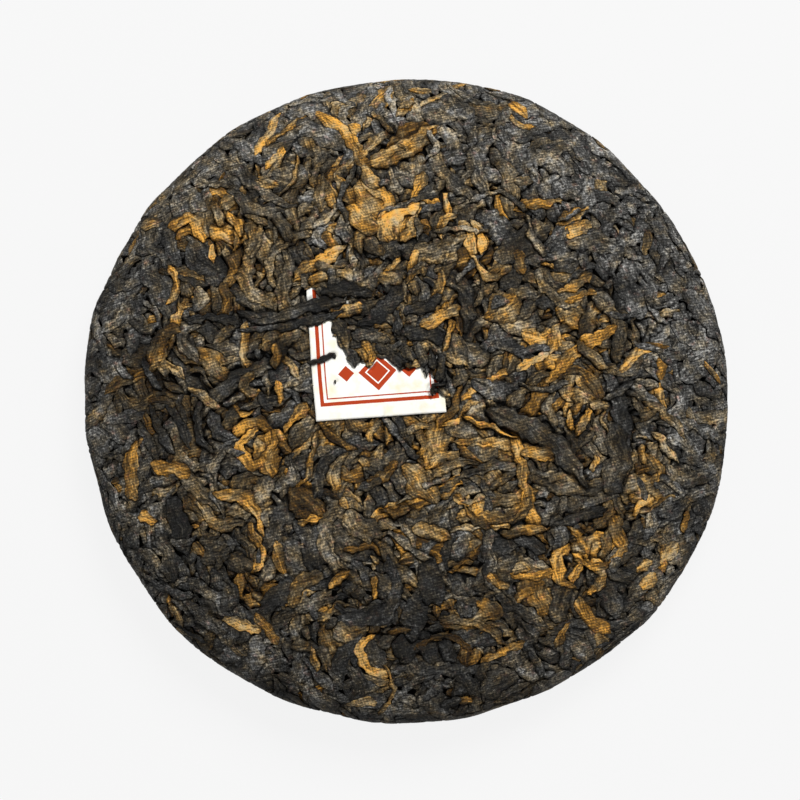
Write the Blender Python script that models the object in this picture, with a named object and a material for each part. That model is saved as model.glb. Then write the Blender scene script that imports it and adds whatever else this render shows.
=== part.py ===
"""A 100 g pu-erh tea cake: steamed tea leaves pressed in a cloth bag into one round, domed block.

The cake is one solid. Its core is turned from a profile with a domed face, a round rim and a back
with the hollow that the knot of the cloth leaves there. It rests on the flat ring round the hollow.
Rolled leaves stand proud of the core all over, and are fused to it. A square paper ticket lies in a
shallow pocket in the face, partly under leaves that bridge it. The face looks up (+Z), and the top
of the ticket points to +Y.
"""

import math
import random

import bmesh
import bpy
import numpy as np
from mathutils import Vector

MM = 0.001

# The cake's core
CAKE_RADIUS = 53.6 * MM
FACE_HEIGHT = 16.6 * MM
FACE_POWER = 4.0
FACE_SHARE = 0.93
RIM_LEVEL = 6.6 * MM
BACK_CURVE = 7.5 * MM
BACK_LEVEL = 0.7 * MM
FOOT_RADIUS = 22.0 * MM
HOLLOW_RADIUS = 17.0 * MM
HOLLOW_DEPTH = 8.0 * MM
TURN_STEPS = 48
FACE_RINGS = 6
RIM_RINGS = 3
BACK_RINGS = 2
HOLLOW_RINGS = 6
PROFILE_SAMPLES = 400
NORMAL_STEP = 0.4 * MM

# How far the outline is from a true circle: lobes, size and the direction of the first lobe
OUTLINE_LOBES = (
    (2, 0.10 * MM, math.radians(-157)),
    (3, 0.10 * MM, math.radians(-105)),
    (4, 0.21 * MM, math.radians(-94)),
    (7, 0.14 * MM, math.radians(116)),
)

# The rolled leaves
LEAF_SEED = 7
LEAF_WIDTH = (2.6 * MM, 4.2 * MM)
LEAF_LENGTH = (9.0 * MM, 18.0 * MM)
LEAF_BEND = math.radians(110)
LEAF_PROUD = (0.30 * MM, 0.70 * MM)
LEAF_ROOT = 0.7 * MM
LEAF_STATIONS = 5
BRIDGING_STATIONS = 9
CREST_WIDTH_SHARE = 0.62
TIP_WIDTH_SHARE = 0.45
TIP_CREST_SHARE = 0.35
GOLDEN_ANGLE = math.radians(137.508)
FACE_LEAVES = 92
FACE_LEAF_REACH = 52.0 * MM
SIDE_LEAVES = 22
SIDE_LEAF_LEVELS = (2.6 * MM, -1.6 * MM)
SIDE_LEAF_TILT = 0.25
BACK_LEAVES = 28
BACK_LEAF_RING = (28.0 * MM, 49.0 * MM)
BACK_LEAF_TILT = 0.5
BACK_LEAF_BEND = (0.1, 0.8)

# The paper ticket and its pocket, seen from above
TICKET_WIDTH = 21.3 * MM
TICKET_HEIGHT = 24.1 * MM
TICKET_CENTRE = (-5.1 * MM, 7.7 * MM)
TICKET_TURN = math.radians(4.3)
TICKET_THICKNESS = 0.35 * MM
TICKET_DEPTH = 0.40 * MM
TICKET_GAP = 0.30 * MM
TICKET_CELLS = 6
LEAF_TO_TICKET = 1.0 * MM
BRIDGING_CLEAR = 2.4 * MM
BRIDGING_PROUD = 0.42 * MM
BRIDGING_STEP = 0.06 * MM
POCKET_HEADROOM = 2.0 * MM

# Leaves that cross the upper part of the ticket: middle, direction, length, width and bend
BRIDGING_LEAVES = (
    ((-9.6 * MM, 14.8 * MM), 4, 33.0 * MM, 3.0 * MM, 12),
    ((-2.0 * MM, 12.6 * MM), 44, 26.0 * MM, 3.0 * MM, -30),
    ((1.6 * MM, 9.6 * MM), -6, 25.0 * MM, 3.2 * MM, 16),
    ((-4.6 * MM, 18.0 * MM), -14, 22.0 * MM, 3.4 * MM, 18),
    ((-1.4 * MM, 11.0 * MM), -58, 27.0 * MM, 3.4 * MM, 24),
    ((4.2 * MM, 15.2 * MM), 78, 19.0 * MM, 3.0 * MM, 28),
    ((3.0 * MM, 5.6 * MM), 12, 21.0 * MM, 3.2 * MM, -20),
)


def clear_scene():
    for thing in list(bpy.data.objects):
        bpy.data.objects.remove(thing, do_unlink=True)


def matte(name, colour, roughness):
    material = bpy.data.materials.new(name)
    material.use_nodes = True
    shader = material.node_tree.nodes["Principled BSDF"]
    shader.inputs["Base Color"].default_value = (*colour, 1.0)
    shader.inputs["Roughness"].default_value = roughness
    shader.inputs["Metallic"].default_value = 0.0
    return material


def face_level(radius):
    """Height of the core's face: almost flat in the middle, upright at the rim."""
    share = min(radius / CAKE_RADIUS, 1.0)
    return RIM_LEVEL + (FACE_HEIGHT - RIM_LEVEL) * math.sqrt(1 - share**FACE_POWER)


def hollow_level(radius):
    """Height of the hollow in the back: a bell whose lip runs level into the flat ring."""
    share = radius / HOLLOW_RADIUS
    return HOLLOW_DEPTH * (1 - share**2) ** 2


def outline(face, rim, back, hollow):
    """Points (radius, height) of half a slice, from the middle of the face to that of the back."""
    quarter = math.pi / 2
    points = []
    for i in range(face):
        radius = FACE_SHARE * CAKE_RADIUS * i / face
        points.append((radius, face_level(radius)))
    start = math.acos(FACE_SHARE ** (FACE_POWER / 2))
    for i in range(rim):
        turn = start * (1 - i / rim)
        radius = CAKE_RADIUS * math.cos(turn) ** (2 / FACE_POWER)
        points.append((radius, face_level(radius)))
    for i in range(rim + 1):
        turn = quarter * i / rim
        radius = CAKE_RADIUS - BACK_CURVE * (1 - math.cos(turn))
        height = RIM_LEVEL - (RIM_LEVEL - BACK_LEVEL) * math.sin(turn)
        points.append((radius, height))
    back_edge = CAKE_RADIUS - BACK_CURVE
    for i in range(1, back + 1):
        points.append((back_edge + (FOOT_RADIUS - back_edge) * i / back, BACK_LEVEL * (1 - i / back)))
    for i in range(hollow + 1):
        radius = HOLLOW_RADIUS * (1 - i / hollow)
        points.append((radius, hollow_level(radius)))
    return points


class Skin:
    """The core's surface, by the distance from the middle of the face along the profile."""

    def __init__(self):
        self.points = np.array(outline(*[PROFILE_SAMPLES] * 4))
        steps = np.hypot(*np.diff(self.points, axis=0).T)
        self.along = np.concatenate([[0.0], np.cumsum(steps)])
        self.length = self.along[-1]
        self.rim = self.along[self.points[:, 0].argmax()]

    def at(self, along):
        return np.array([np.interp(along, self.along, self.points[:, k]) for k in (0, 1)])

    def place(self, along, angle, lift):
        """The point at this distance and angle, raised off the surface by lift."""
        here = self.at(along)
        ahead = self.at(along + NORMAL_STEP) - self.at(along - NORMAL_STEP)
        if along < NORMAL_STEP:
            ahead = np.array([1.0, 0.0])
        across = ahead / np.hypot(*ahead)
        radius = here[0] * (1 + lobes(angle)) - across[1] * lift
        height = here[1] + across[0] * lift
        return Vector((radius * math.cos(angle), radius * math.sin(angle), height))

    def over_face(self, x, y, lift):
        return self.place(math.hypot(x, y), math.atan2(y, x), lift)

    def over_back(self, x, y, lift):
        """On the back nothing reaches below the flat ring that the cake rests on."""
        point = self.place(self.length - math.hypot(x, y), math.atan2(y, x), lift)
        point.z = max(point.z, 0.0)
        return point

    def over_rim(self, x, y, lift):
        """x runs round the rim and y runs down it."""
        return self.place(self.rim + y, x / CAKE_RADIUS, lift)


def lobes(angle):
    """The outline's share of unevenness at an angle."""
    return sum(size * math.cos(n * angle - turn) for n, size, turn in OUTLINE_LOBES) / CAKE_RADIUS


def new_object(name, mesh_maker, collection):
    mesh = bpy.data.meshes.new(name)
    mesh_maker.to_mesh(mesh)
    mesh_maker.free()
    thing = bpy.data.objects.new(name, mesh)
    collection.objects.link(thing)
    return thing


def core(collection):
    """The turned block: the profile is spun round Z, then its outline is made uneven."""
    shape = bmesh.new()
    points = outline(FACE_RINGS, RIM_RINGS, BACK_RINGS, HOLLOW_RINGS)
    corners = [shape.verts.new((radius, 0.0, height)) for radius, height in points]
    edges = [shape.edges.new(pair) for pair in zip(corners, corners[1:])]
    bmesh.ops.spin(
        shape,
        geom=corners + edges,
        axis=(0, 0, 1),
        cent=(0, 0, 0),
        angle=2 * math.pi,
        steps=TURN_STEPS,
        use_merge=True,
    )
    bmesh.ops.remove_doubles(shape, verts=shape.verts, dist=0.01 * MM)
    bmesh.ops.recalc_face_normals(shape, faces=shape.faces)
    for corner in shape.verts:
        grow = 1 + lobes(math.atan2(corner.co.y, corner.co.x))
        corner.co.x *= grow
        corner.co.y *= grow
    return new_object("tea_cake", shape, collection)


def leaf_path(middle, heading, length, bend, count=LEAF_STATIONS):
    """Stations (x, y, direction) along an arc of this length that turns by bend."""
    stations = []
    for i in range(count):
        along = i / (count - 1) - 0.5
        turn = heading + bend * along
        if abs(bend) < 1e-3:
            offset = Vector((length * along, 0.0))
        else:
            radius = length / bend
            offset = Vector((radius * math.sin(bend * along), radius * (1 - math.cos(bend * along))))
        spun = Vector(
            (
                offset.x * math.cos(heading) - offset.y * math.sin(heading),
                offset.x * math.sin(heading) + offset.y * math.cos(heading),
            )
        )
        stations.append((middle[0] + spun.x, middle[1] + spun.y, turn))
    return stations


def leaf(name, chart, path, width, proud, root, collection):
    """A rolled leaf pressed flat: a ribbon with a narrower crest, blunt ends and a root in the core."""
    shape = bmesh.new()
    rings = []
    for i, (x, y, turn) in enumerate(path):
        at_end = i in (0, len(path) - 1)
        half = width / 2 * (TIP_WIDTH_SHARE if at_end else 1.0)
        crest = proud * (TIP_CREST_SHARE if at_end else 1.0)
        side = Vector((-math.sin(turn), math.cos(turn)))
        ring = []
        for across in (-1, -CREST_WIDTH_SHARE, CREST_WIDTH_SHARE, 1):
            px, py = x + side.x * half * across, y + side.y * half * across
            lift = crest if abs(across) < 1 else -root(px, py)
            ring.append(shape.verts.new(chart(px, py, lift)))
        rings.append(ring)
    for first, second in zip(rings, rings[1:]):
        for k in range(4):
            shape.faces.new((first[k], second[k], second[(k + 1) % 4], first[(k + 1) % 4]))
    shape.faces.new(rings[0])
    shape.faces.new(list(reversed(rings[-1])))
    bmesh.ops.triangulate(shape, faces=shape.faces)
    bmesh.ops.recalc_face_normals(shape, faces=shape.faces)
    return new_object(name, shape, collection)


def ticket_distance(x, y):
    """How far a point of the face is outside the ticket's edge; negative on the ticket."""
    dx, dy = x - TICKET_CENTRE[0], y - TICKET_CENTRE[1]
    across = dx * math.cos(TICKET_TURN) + dy * math.sin(TICKET_TURN)
    up = -dx * math.sin(TICKET_TURN) + dy * math.cos(TICKET_TURN)
    return max(abs(across) - TICKET_WIDTH / 2, abs(up) - TICKET_HEIGHT / 2)


def full_root(x, y):
    return LEAF_ROOT


def bridging_root(x, y):
    """A bridging leaf is rooted in the core, and keeps its gap where it passes over the ticket."""
    return LEAF_ROOT if ticket_distance(x, y) > BRIDGING_CLEAR else TICKET_DEPTH - TICKET_GAP


def face_leaves(skin, chance, collection):
    """Leaves spread evenly over the face by the golden angle. They stop short of the ticket."""
    for i in range(FACE_LEAVES):
        reach = FACE_LEAF_REACH * math.sqrt((i + 0.5) / FACE_LEAVES)
        middle = (reach * math.cos(i * GOLDEN_ANGLE), reach * math.sin(i * GOLDEN_ANGLE))
        width = chance.uniform(*LEAF_WIDTH)
        length = chance.uniform(*LEAF_LENGTH)
        bend = chance.uniform(-LEAF_BEND, LEAF_BEND)
        heading = chance.uniform(0, math.pi)
        proud = chance.uniform(*LEAF_PROUD)
        path = leaf_path(middle, heading, length, bend)
        clear = TICKET_GAP + LEAF_TO_TICKET + width / 2
        if min(ticket_distance(x, y) for x, y, _ in path) < clear:
            continue
        leaf(f"face_leaf_{i:03d}", skin.over_face, path, width, proud, full_root, collection)


def side_leaves(skin, chance, collection):
    """Leaves that lie round the rim, a little uphill and downhill by turns."""
    for i in range(SIDE_LEAVES):
        middle = (2 * math.pi * CAKE_RADIUS * i / SIDE_LEAVES, -SIDE_LEAF_LEVELS[i % 2])
        heading = chance.uniform(-SIDE_LEAF_TILT, SIDE_LEAF_TILT)
        length = chance.uniform(*LEAF_LENGTH)
        bend = chance.uniform(-SIDE_LEAF_TILT, SIDE_LEAF_TILT)
        width = chance.uniform(*LEAF_WIDTH)
        proud = chance.uniform(*LEAF_PROUD)
        path = leaf_path(middle, heading, length, bend)
        leaf(f"side_leaf_{i:03d}", skin.over_rim, path, width, proud, full_root, collection)


def back_leaves(skin, chance, collection):
    """Leaves on the back, between the flat ring and the rim."""
    inner, outer = BACK_LEAF_RING
    for i in range(BACK_LEAVES):
        share = (i + 0.5) / BACK_LEAVES
        reach = math.sqrt(inner**2 + (outer**2 - inner**2) * share)
        middle = (reach * math.cos(i * GOLDEN_ANGLE), reach * math.sin(i * GOLDEN_ANGLE))
        heading = i * GOLDEN_ANGLE + math.pi / 2 + chance.uniform(-BACK_LEAF_TILT, BACK_LEAF_TILT)
        length = chance.uniform(*LEAF_LENGTH)
        bend = chance.uniform(*BACK_LEAF_BEND)
        width = chance.uniform(*LEAF_WIDTH)
        proud = chance.uniform(*LEAF_PROUD)
        path = leaf_path(middle, heading, length, bend)
        leaf(f"back_leaf_{i:03d}", skin.over_back, path, width, proud, full_root, collection)


def bridging_leaves(skin, collection):
    for i, (middle, heading, length, width, bend) in enumerate(BRIDGING_LEAVES):
        path = leaf_path(middle, math.radians(heading), length, math.radians(bend), BRIDGING_STATIONS)
        proud = BRIDGING_PROUD + BRIDGING_STEP * i
        leaf(f"bridging_leaf_{i}", skin.over_face, path, width, proud, bridging_root, collection)


def ticket_slab(name, margin, top, bottom, collection):
    """A square slab that follows the face, between two depths under the core's surface."""
    shape = bmesh.new()
    half_width, half_height = TICKET_WIDTH / 2 + margin, TICKET_HEIGHT / 2 + margin
    layers = []
    for lift in (bottom, top):
        grid = []
        for row in range(TICKET_CELLS + 1):
            up = half_height * (2 * row / TICKET_CELLS - 1)
            line = []
            for column in range(TICKET_CELLS + 1):
                across = half_width * (2 * column / TICKET_CELLS - 1)
                x = TICKET_CENTRE[0] + across * math.cos(TICKET_TURN) - up * math.sin(TICKET_TURN)
                y = TICKET_CENTRE[1] + across * math.sin(TICKET_TURN) + up * math.cos(TICKET_TURN)
                line.append(shape.verts.new((x, y, face_level(math.hypot(x, y)) + lift)))
            grid.append(line)
        layers.append(grid)
    edge = [(0, k) for k in range(TICKET_CELLS)]
    edge += [(k, TICKET_CELLS) for k in range(TICKET_CELLS)]
    edge += [(TICKET_CELLS, k) for k in range(TICKET_CELLS, 0, -1)]
    edge += [(k, 0) for k in range(TICKET_CELLS, 0, -1)]
    low, high = layers
    for grid in layers:
        for row in range(TICKET_CELLS):
            for k in range(TICKET_CELLS):
                shape.faces.new((grid[row][k], grid[row][k + 1], grid[row + 1][k + 1], grid[row + 1][k]))
    for (r1, c1), (r2, c2) in zip(edge, edge[1:] + edge[:1]):
        shape.faces.new((low[r1][c1], low[r2][c2], high[r2][c2], high[r1][c1]))
    bmesh.ops.triangulate(shape, faces=shape.faces)
    bmesh.ops.recalc_face_normals(shape, faces=shape.faces)
    return new_object(name, shape, collection)


def helper_collection(name):
    made = bpy.data.collections.new(name)
    bpy.context.scene.collection.children.link(made)
    return made


def apply_boolean(body, operation, solver, collection):
    """Joins the collection's objects to the body, or cuts them out of it."""
    cut = body.modifiers.new(operation.lower(), "BOOLEAN")
    cut.operation = operation
    cut.solver = solver
    cut.operand_type = "COLLECTION"
    cut.collection = collection
    bpy.context.view_layer.objects.active = body
    bpy.ops.object.modifier_apply(modifier=cut.name)


def empty_collection(collection):
    for thing in list(collection.objects):
        bpy.data.objects.remove(thing, do_unlink=True)
    bpy.data.collections.remove(collection)


def build():
    clear_scene()
    skin = Skin()
    chance = random.Random(LEAF_SEED)
    scene = bpy.context.scene.collection
    tea = matte("pressed_tea", (0.071, 0.054, 0.033), 0.85)
    paper = matte("ticket_paper", (0.93, 0.89, 0.76), 0.8)

    cake = core(scene)
    ticket_bottom = -TICKET_DEPTH - TICKET_THICKNESS
    pocket = helper_collection("pocket")
    ticket_slab("ticket_pocket", TICKET_GAP, POCKET_HEADROOM, ticket_bottom - TICKET_GAP, pocket)
    apply_boolean(cake, "DIFFERENCE", "EXACT", pocket)

    leaves = helper_collection("leaves")
    face_leaves(skin, chance, leaves)
    side_leaves(skin, chance, leaves)
    back_leaves(skin, chance, leaves)
    bridging_leaves(skin, leaves)
    apply_boolean(cake, "UNION", "MANIFOLD", leaves)
    empty_collection(pocket)
    empty_collection(leaves)
    cake.data.materials.append(tea)

    ticket = ticket_slab("paper_ticket", 0.0, -TICKET_DEPTH, ticket_bottom, scene)
    ticket.data.materials.append(paper)


build()
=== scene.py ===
# %% [markdown]
# # A pressed cake of pu-erh tea
#
# The real thing is a handful of rolled tea leaves, steamed soft, tied up in a cotton cloth and
# pressed into a disc. Every leaf is still there: the ones on top lie flat against the cloth and
# keep its weave as a print, and the ones below dip under them, so that dark creases run between.
# A small square paper ticket was pressed in with them.
#
# This lesson builds that from loose leaves. It could be done with a displacement map on a disc,
# but leaves that are real meshes give crisp edges, true creases and their own colours.
#
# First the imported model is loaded. It is the fixed frame that every new piece is fitted to.

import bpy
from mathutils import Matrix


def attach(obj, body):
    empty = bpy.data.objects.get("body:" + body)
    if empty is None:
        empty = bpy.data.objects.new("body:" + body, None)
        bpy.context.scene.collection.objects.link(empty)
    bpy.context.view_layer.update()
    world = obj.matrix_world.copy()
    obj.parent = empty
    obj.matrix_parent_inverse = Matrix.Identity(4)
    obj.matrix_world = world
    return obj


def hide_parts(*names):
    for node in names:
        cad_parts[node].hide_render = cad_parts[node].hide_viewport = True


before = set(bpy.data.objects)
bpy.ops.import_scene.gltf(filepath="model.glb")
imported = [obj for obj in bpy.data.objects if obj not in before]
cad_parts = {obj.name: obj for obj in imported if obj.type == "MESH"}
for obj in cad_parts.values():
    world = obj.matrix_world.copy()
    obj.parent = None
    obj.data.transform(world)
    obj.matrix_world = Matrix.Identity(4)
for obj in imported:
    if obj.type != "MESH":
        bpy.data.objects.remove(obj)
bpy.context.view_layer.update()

# %% [markdown]
# The rest of the lesson counts in metres, as Blender does, and writes its small sizes in millimetres.

# %% Modules and units
import math
from dataclasses import dataclass

import bpy
import numpy as np
from mathutils import Vector

MM = 0.001

# %% [markdown]
# ## The camera
#
# The picture looks almost straight down on the face, from a little below its middle. The camera is
# made first, because leaves that can be made out in the picture are placed by their pixels: a ray
# through the pixel is followed down to the face. A long lens keeps the disc round. The near half of
# the rim still looks a little larger, so the rim's middle lies somewhat above the disc's middle.

# %% Set up the camera
PICTURE_SIDE = 800
RIM_MIDDLE = (406.5, 396.9)
DISC_ACROSS = 645.2
CAKE_ACROSS = 107.9 * MM
CAMERA_LENS = 100.0
SENSOR_WIDTH = 36.0
CAMERA_ELEVATION = math.radians(84)
RIM_LEVEL = 6.6 * MM

LENS_IN_PIXELS = CAMERA_LENS / SENSOR_WIDTH * PICTURE_SIDE
CAMERA_DISTANCE = LENS_IN_PIXELS * CAKE_ACROSS / DISC_ACROSS
CAMERA_BACK = Vector((0.0, -math.cos(CAMERA_ELEVATION), math.sin(CAMERA_ELEVATION)))
PICTURE_RIGHT = Vector((1.0, 0.0, 0.0))
PICTURE_UP = CAMERA_BACK.cross(PICTURE_RIGHT)


def camera_place():
    """Where the camera stands for the rim's middle to land on its pixel."""
    size = CAKE_ACROSS / DISC_ACROSS
    off_right = (PICTURE_SIDE / 2 - RIM_MIDDLE[0]) * size
    off_up = (RIM_MIDDLE[1] - PICTURE_SIDE / 2) * size
    aim = Vector((0.0, 0.0, RIM_LEVEL)) + PICTURE_RIGHT * off_right + PICTURE_UP * off_up
    return aim + CAMERA_BACK * CAMERA_DISTANCE


CAMERA_PLACE = camera_place()
bpy.ops.object.camera_add(location=CAMERA_PLACE)
camera = bpy.context.object
camera.name = "Camera"
camera.rotation_euler = (-CAMERA_BACK).to_track_quat("-Z", "Y").to_euler()
camera.data.lens = CAMERA_LENS
camera.data.sensor_width = SENSOR_WIDTH
camera.data.clip_start = 10 * MM
camera.data.dof.use_dof = False
bpy.context.scene.camera = camera
print(f"camera {CAMERA_DISTANCE:.3f} m from the rim's middle")

# %% [markdown]
# ## The cake's skin
#
# The cloth gives the cake one smooth outer shape: a domed face, a round rim, and a back with the
# hollow that the knot leaves. Half a slice of it is one line, so the whole skin is that line turned
# round. A place on it is two numbers: how far along the line, and the angle.
#
# Leaves are laid on two flat maps, one for each side. Distance from a map's middle is distance
# along the line, so a leaf keeps its length as it bends over the rim.

# %% Work out the skin
CAKE_RADIUS = 53.75 * MM
FACE_HEIGHT = 16.6 * MM
FACE_POWER = 4.0
BACK_CURVE = 7.5 * MM
BACK_LEVEL = 0.7 * MM
FOOT_RADIUS = 22.0 * MM
HOLLOW_RADIUS = 17.0 * MM
HOLLOW_DEPTH = 8.0 * MM
OUTLINE_LOBES = (
    (2, 0.10 * MM, math.radians(-157)),
    (3, 0.10 * MM, math.radians(-105)),
    (4, 0.21 * MM, math.radians(-94)),
    (7, 0.14 * MM, math.radians(116)),
)
SKIN_SAMPLES = 1500


def face_level(radius):
    """Height of the face: almost flat in the middle, upright at the rim."""
    share = np.minimum(radius / CAKE_RADIUS, 1.0)
    return RIM_LEVEL + (FACE_HEIGHT - RIM_LEVEL) * np.sqrt(1 - share**FACE_POWER)


def skin_line():
    """Radius and height along half a slice, from the face's middle to the back's."""
    quarter = np.linspace(0, math.pi / 2, SKIN_SAMPLES)
    face_radius = CAKE_RADIUS * np.sin(quarter) ** (2 / FACE_POWER)
    face_radius[0] = 0.0
    under_radius = CAKE_RADIUS - BACK_CURVE * (1 - np.cos(quarter))
    under_level = RIM_LEVEL - (RIM_LEVEL - BACK_LEVEL) * np.sin(quarter)
    back_radius = np.linspace(CAKE_RADIUS - BACK_CURVE, FOOT_RADIUS, SKIN_SAMPLES)
    back_level = np.linspace(BACK_LEVEL, 0.0, SKIN_SAMPLES)
    hollow_radius = np.linspace(HOLLOW_RADIUS, 0.0, SKIN_SAMPLES)
    hollow_level = HOLLOW_DEPTH * (1 - (hollow_radius / HOLLOW_RADIUS) ** 2) ** 2
    radius = np.concatenate([face_radius, under_radius[1:], back_radius[1:], hollow_radius])
    level = np.concatenate([face_level(face_radius), under_level[1:], back_level[1:], hollow_level])
    return radius, level


def even_skin():
    """The same line at even steps, with the direction that points out of the cake."""
    radius, level = skin_line()
    along = np.concatenate([[0.0], np.cumsum(np.hypot(np.diff(radius), np.diff(level)))])
    even = np.linspace(0.0, along[-1], SKIN_SAMPLES)
    radius, level = np.interp(even, along, radius), np.interp(even, along, level)
    run, rise = np.gradient(radius), np.gradient(level)
    size = np.hypot(run, rise)
    return even, radius, level, -rise / size, run / size


SKIN_ALONG, SKIN_RADIUS, SKIN_LEVEL, SKIN_OUT, SKIN_UP = even_skin()
SKIN_LENGTH = SKIN_ALONG[-1]
RIM_INDEX = int(SKIN_RADIUS.argmax())
RIM_ALONG = SKIN_ALONG[RIM_INDEX]
print(f"skin line {SKIN_LENGTH / MM:.1f} mm, of which the face is {RIM_ALONG / MM:.1f} mm")

# %% [markdown]
# The pressed surface isn't perfectly even: the bag and the leaves leave low lumps. They are a sum
# of a few long waves through space, so that both maps agree on them where they meet at the rim.
# The back lies on a table, so what would reach below it is pressed flat.

# %% Place points on the skin
SHAPE_SEED = 11
LUMP_WAVES = 14
LUMP_LENGTHS = (9 * MM, 24 * MM)
LUMP_HEIGHT = 0.05 * MM
FLOOR_ROUND = 0.10 * MM

shape_chance = np.random.default_rng(SHAPE_SEED)
lump_directions = shape_chance.normal(size=(LUMP_WAVES, 3))
lump_directions /= np.linalg.norm(lump_directions, axis=1)[:, None]
lump_waves = lump_directions * 2 * math.pi / shape_chance.uniform(*LUMP_LENGTHS, (LUMP_WAVES, 1))
lump_starts = shape_chance.uniform(0, 2 * math.pi, LUMP_WAVES)


def lumps(points):
    """How far the pressed surface stands out at these points."""
    return LUMP_HEIGHT * np.sin(points @ lump_waves.T + lump_starts).sum(-1)


def place(side, u, v, lift):
    """Points in space for places (u, v) on a side's map, raised off the skin by lift."""
    reach = np.hypot(u, v)
    angle = np.arctan2(v, u)
    along = reach if side == "face" else SKIN_LENGTH - reach
    columns = (SKIN_RADIUS, SKIN_LEVEL, SKIN_OUT, SKIN_UP)
    radius, level, out, up = (np.interp(along, SKIN_ALONG, column) for column in columns)
    swell = sum(size * np.cos(n * angle - turn) for n, size, turn in OUTLINE_LOBES) / CAKE_RADIUS
    ground = np.stack([radius * np.cos(angle), radius * np.sin(angle), level], -1)
    lift = lift + lumps(ground)
    radius = radius * (1 + swell) + out * lift
    level = level + up * lift
    level = (level + np.sqrt(level**2 + FLOOR_ROUND**2)) / 2
    return np.stack([radius * np.cos(angle), radius * np.sin(angle), level], -1)


def on_face(px, py):
    """The place on the face's map that is seen at a pixel of the picture."""
    right = (px - PICTURE_SIDE / 2) / LENS_IN_PIXELS
    up = (PICTURE_SIDE / 2 - py) / LENS_IN_PIXELS
    ray = -CAMERA_BACK + PICTURE_RIGHT * right + PICTURE_UP * up
    level = FACE_HEIGHT
    for _ in range(8):
        spot = CAMERA_PLACE + ray * ((level - CAMERA_PLACE.z) / ray.z)
        radius = min(math.hypot(spot.x, spot.y), CAKE_RADIUS)
        level = float(face_level(radius))
    along = float(np.interp(radius, SKIN_RADIUS[: RIM_INDEX + 1], SKIN_ALONG[: RIM_INDEX + 1]))
    angle = math.atan2(spot.y, spot.x)
    return along * math.cos(angle), along * math.sin(angle)


# %% [markdown]
# ## The core
#
# Under the leaves that show lies more of the same, packed too tight to tell apart. It shows only at
# the bottom of the creases, so it is one crumbly body a millimetre under the skin, and its near-black
# colour is painted shade. It is made as on a lathe: one vertex is extruded along half a slice, and the
# line is spun round the Z axis.

# %% Spin the core
CORE_DEPTH = 1.15 * MM
CORE_POINTS = 70
CORE_STEPS = 120


def select_only(thing):
    """Puts an operator's attention on this object alone."""
    bpy.ops.object.select_all(action="DESELECT")
    thing.select_set(True)
    bpy.context.view_layer.objects.active = thing


def apply_modifier(thing, kind, **settings):
    """Adds a modifier, sets it, and makes it part of the mesh."""
    select_only(thing)
    modifier = thing.modifiers.new(kind.lower(), kind)
    for name, value in settings.items():
        setattr(modifier, name, value)
    bpy.ops.object.modifier_apply(modifier=modifier.name)


def spin_core():
    along = np.linspace(0.0, SKIN_LENGTH, CORE_POINTS)
    line = place("face", along, np.zeros(CORE_POINTS), np.full(CORE_POINTS, -CORE_DEPTH))
    line[0, 0] = line[-1, 0] = 0.0
    line[:, 1] = 0.0
    bpy.ops.object.select_all(action="DESELECT")
    bpy.ops.mesh.primitive_plane_add(size=MM, location=(0, 0, 0))
    core = bpy.context.object
    core.name = "tea_core"
    bpy.ops.object.mode_set(mode="EDIT")
    bpy.ops.mesh.select_mode(type="VERT")
    bpy.ops.mesh.select_all(action="SELECT")
    bpy.ops.mesh.merge(type="CENTER")
    bpy.ops.transform.translate(value=Vector(line[0]))
    for before, after in zip(line, line[1:]):
        step = Vector(after) - Vector(before)
        bpy.ops.mesh.extrude_vertices_move(TRANSFORM_OT_translate={"value": step})
    bpy.ops.mesh.select_all(action="SELECT")
    bpy.ops.mesh.spin(steps=CORE_STEPS, angle=2 * math.pi, center=(0, 0, 0), axis=(0, 0, 1))
    bpy.ops.mesh.select_all(action="SELECT")
    bpy.ops.mesh.remove_doubles(threshold=0.01 * MM)
    bpy.ops.mesh.normals_make_consistent(inside=False)
    bpy.ops.object.mode_set(mode="OBJECT")
    return core


def crumble(core):
    """Gives the core the fine, broken relief of packed leaves."""
    crumbs = bpy.data.textures.new("packed_leaves", "CLOUDS")
    crumbs.noise_scale = 1.6 * MM
    crumbs.noise_depth = 3
    apply_modifier(core, "DISPLACE", texture=crumbs, strength=0.7 * MM, mid_level=0.5)
    core.data.shade_smooth()


core = spin_core()
crumble(core)
print("core", len(core.data.polygons), "faces")

# %% [markdown]
# ## How a leaf lies
#
# A rolled leaf is a strip with blunt or pointed ends and an uneven outline. Its line runs over a
# map, and along that line it has a width. Pressed under the cloth it is flat on top and flush with
# its neighbours, rounds off only at its very edges, and keeps a fold or two along its length.
#
# The leaves are laid from the top down. Each map remembers what lies over each spot: whether it is
# covered, and how deep a further leaf is pushed down there. So a leaf that comes later passes under
# the ones before it, and the edge where it dips becomes a crease.

# %% Describe a leaf
@dataclass
class Leaf:
    """A strip along a line on one side's map. Its share runs from -1 to 1 over the whole length."""

    line: np.ndarray
    width: float
    shade: tuple
    side: str = "face"
    share: np.ndarray = None
    blunt: tuple = (5.0, 5.0)
    thick: float = 0.8 * MM
    drop: float = 0.36 * MM
    gap: float = -0.05 * MM
    level: float = 0.0
    lean: float = 0.0
    folds: tuple = ()
    fold_depth: float = 0.2 * MM
    fine: bool = True
    start: float = 0.0

    def __post_init__(self):
        if self.share is None:
            self.share = np.linspace(-1, 1, len(self.line))


# %% [markdown]
# A leaf's line has stations at even steps. A leaf that was read off the picture runs smoothly through
# a few points, and one that is laid by chance turns a little at each step. Its outline wavers in
# waves of its own, to the left and to the right.

# %% Draw a leaf's line and outline
STATION_STEP = 0.5 * MM
FEWEST_STATIONS = 5
# The outline's waves: their share of the leaf's width, their turn for each millimetre, their start
OUTLINE_WAVES = ((0.14, 1.35, 1.0), (0.09, 3.1, 2.3))


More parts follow.
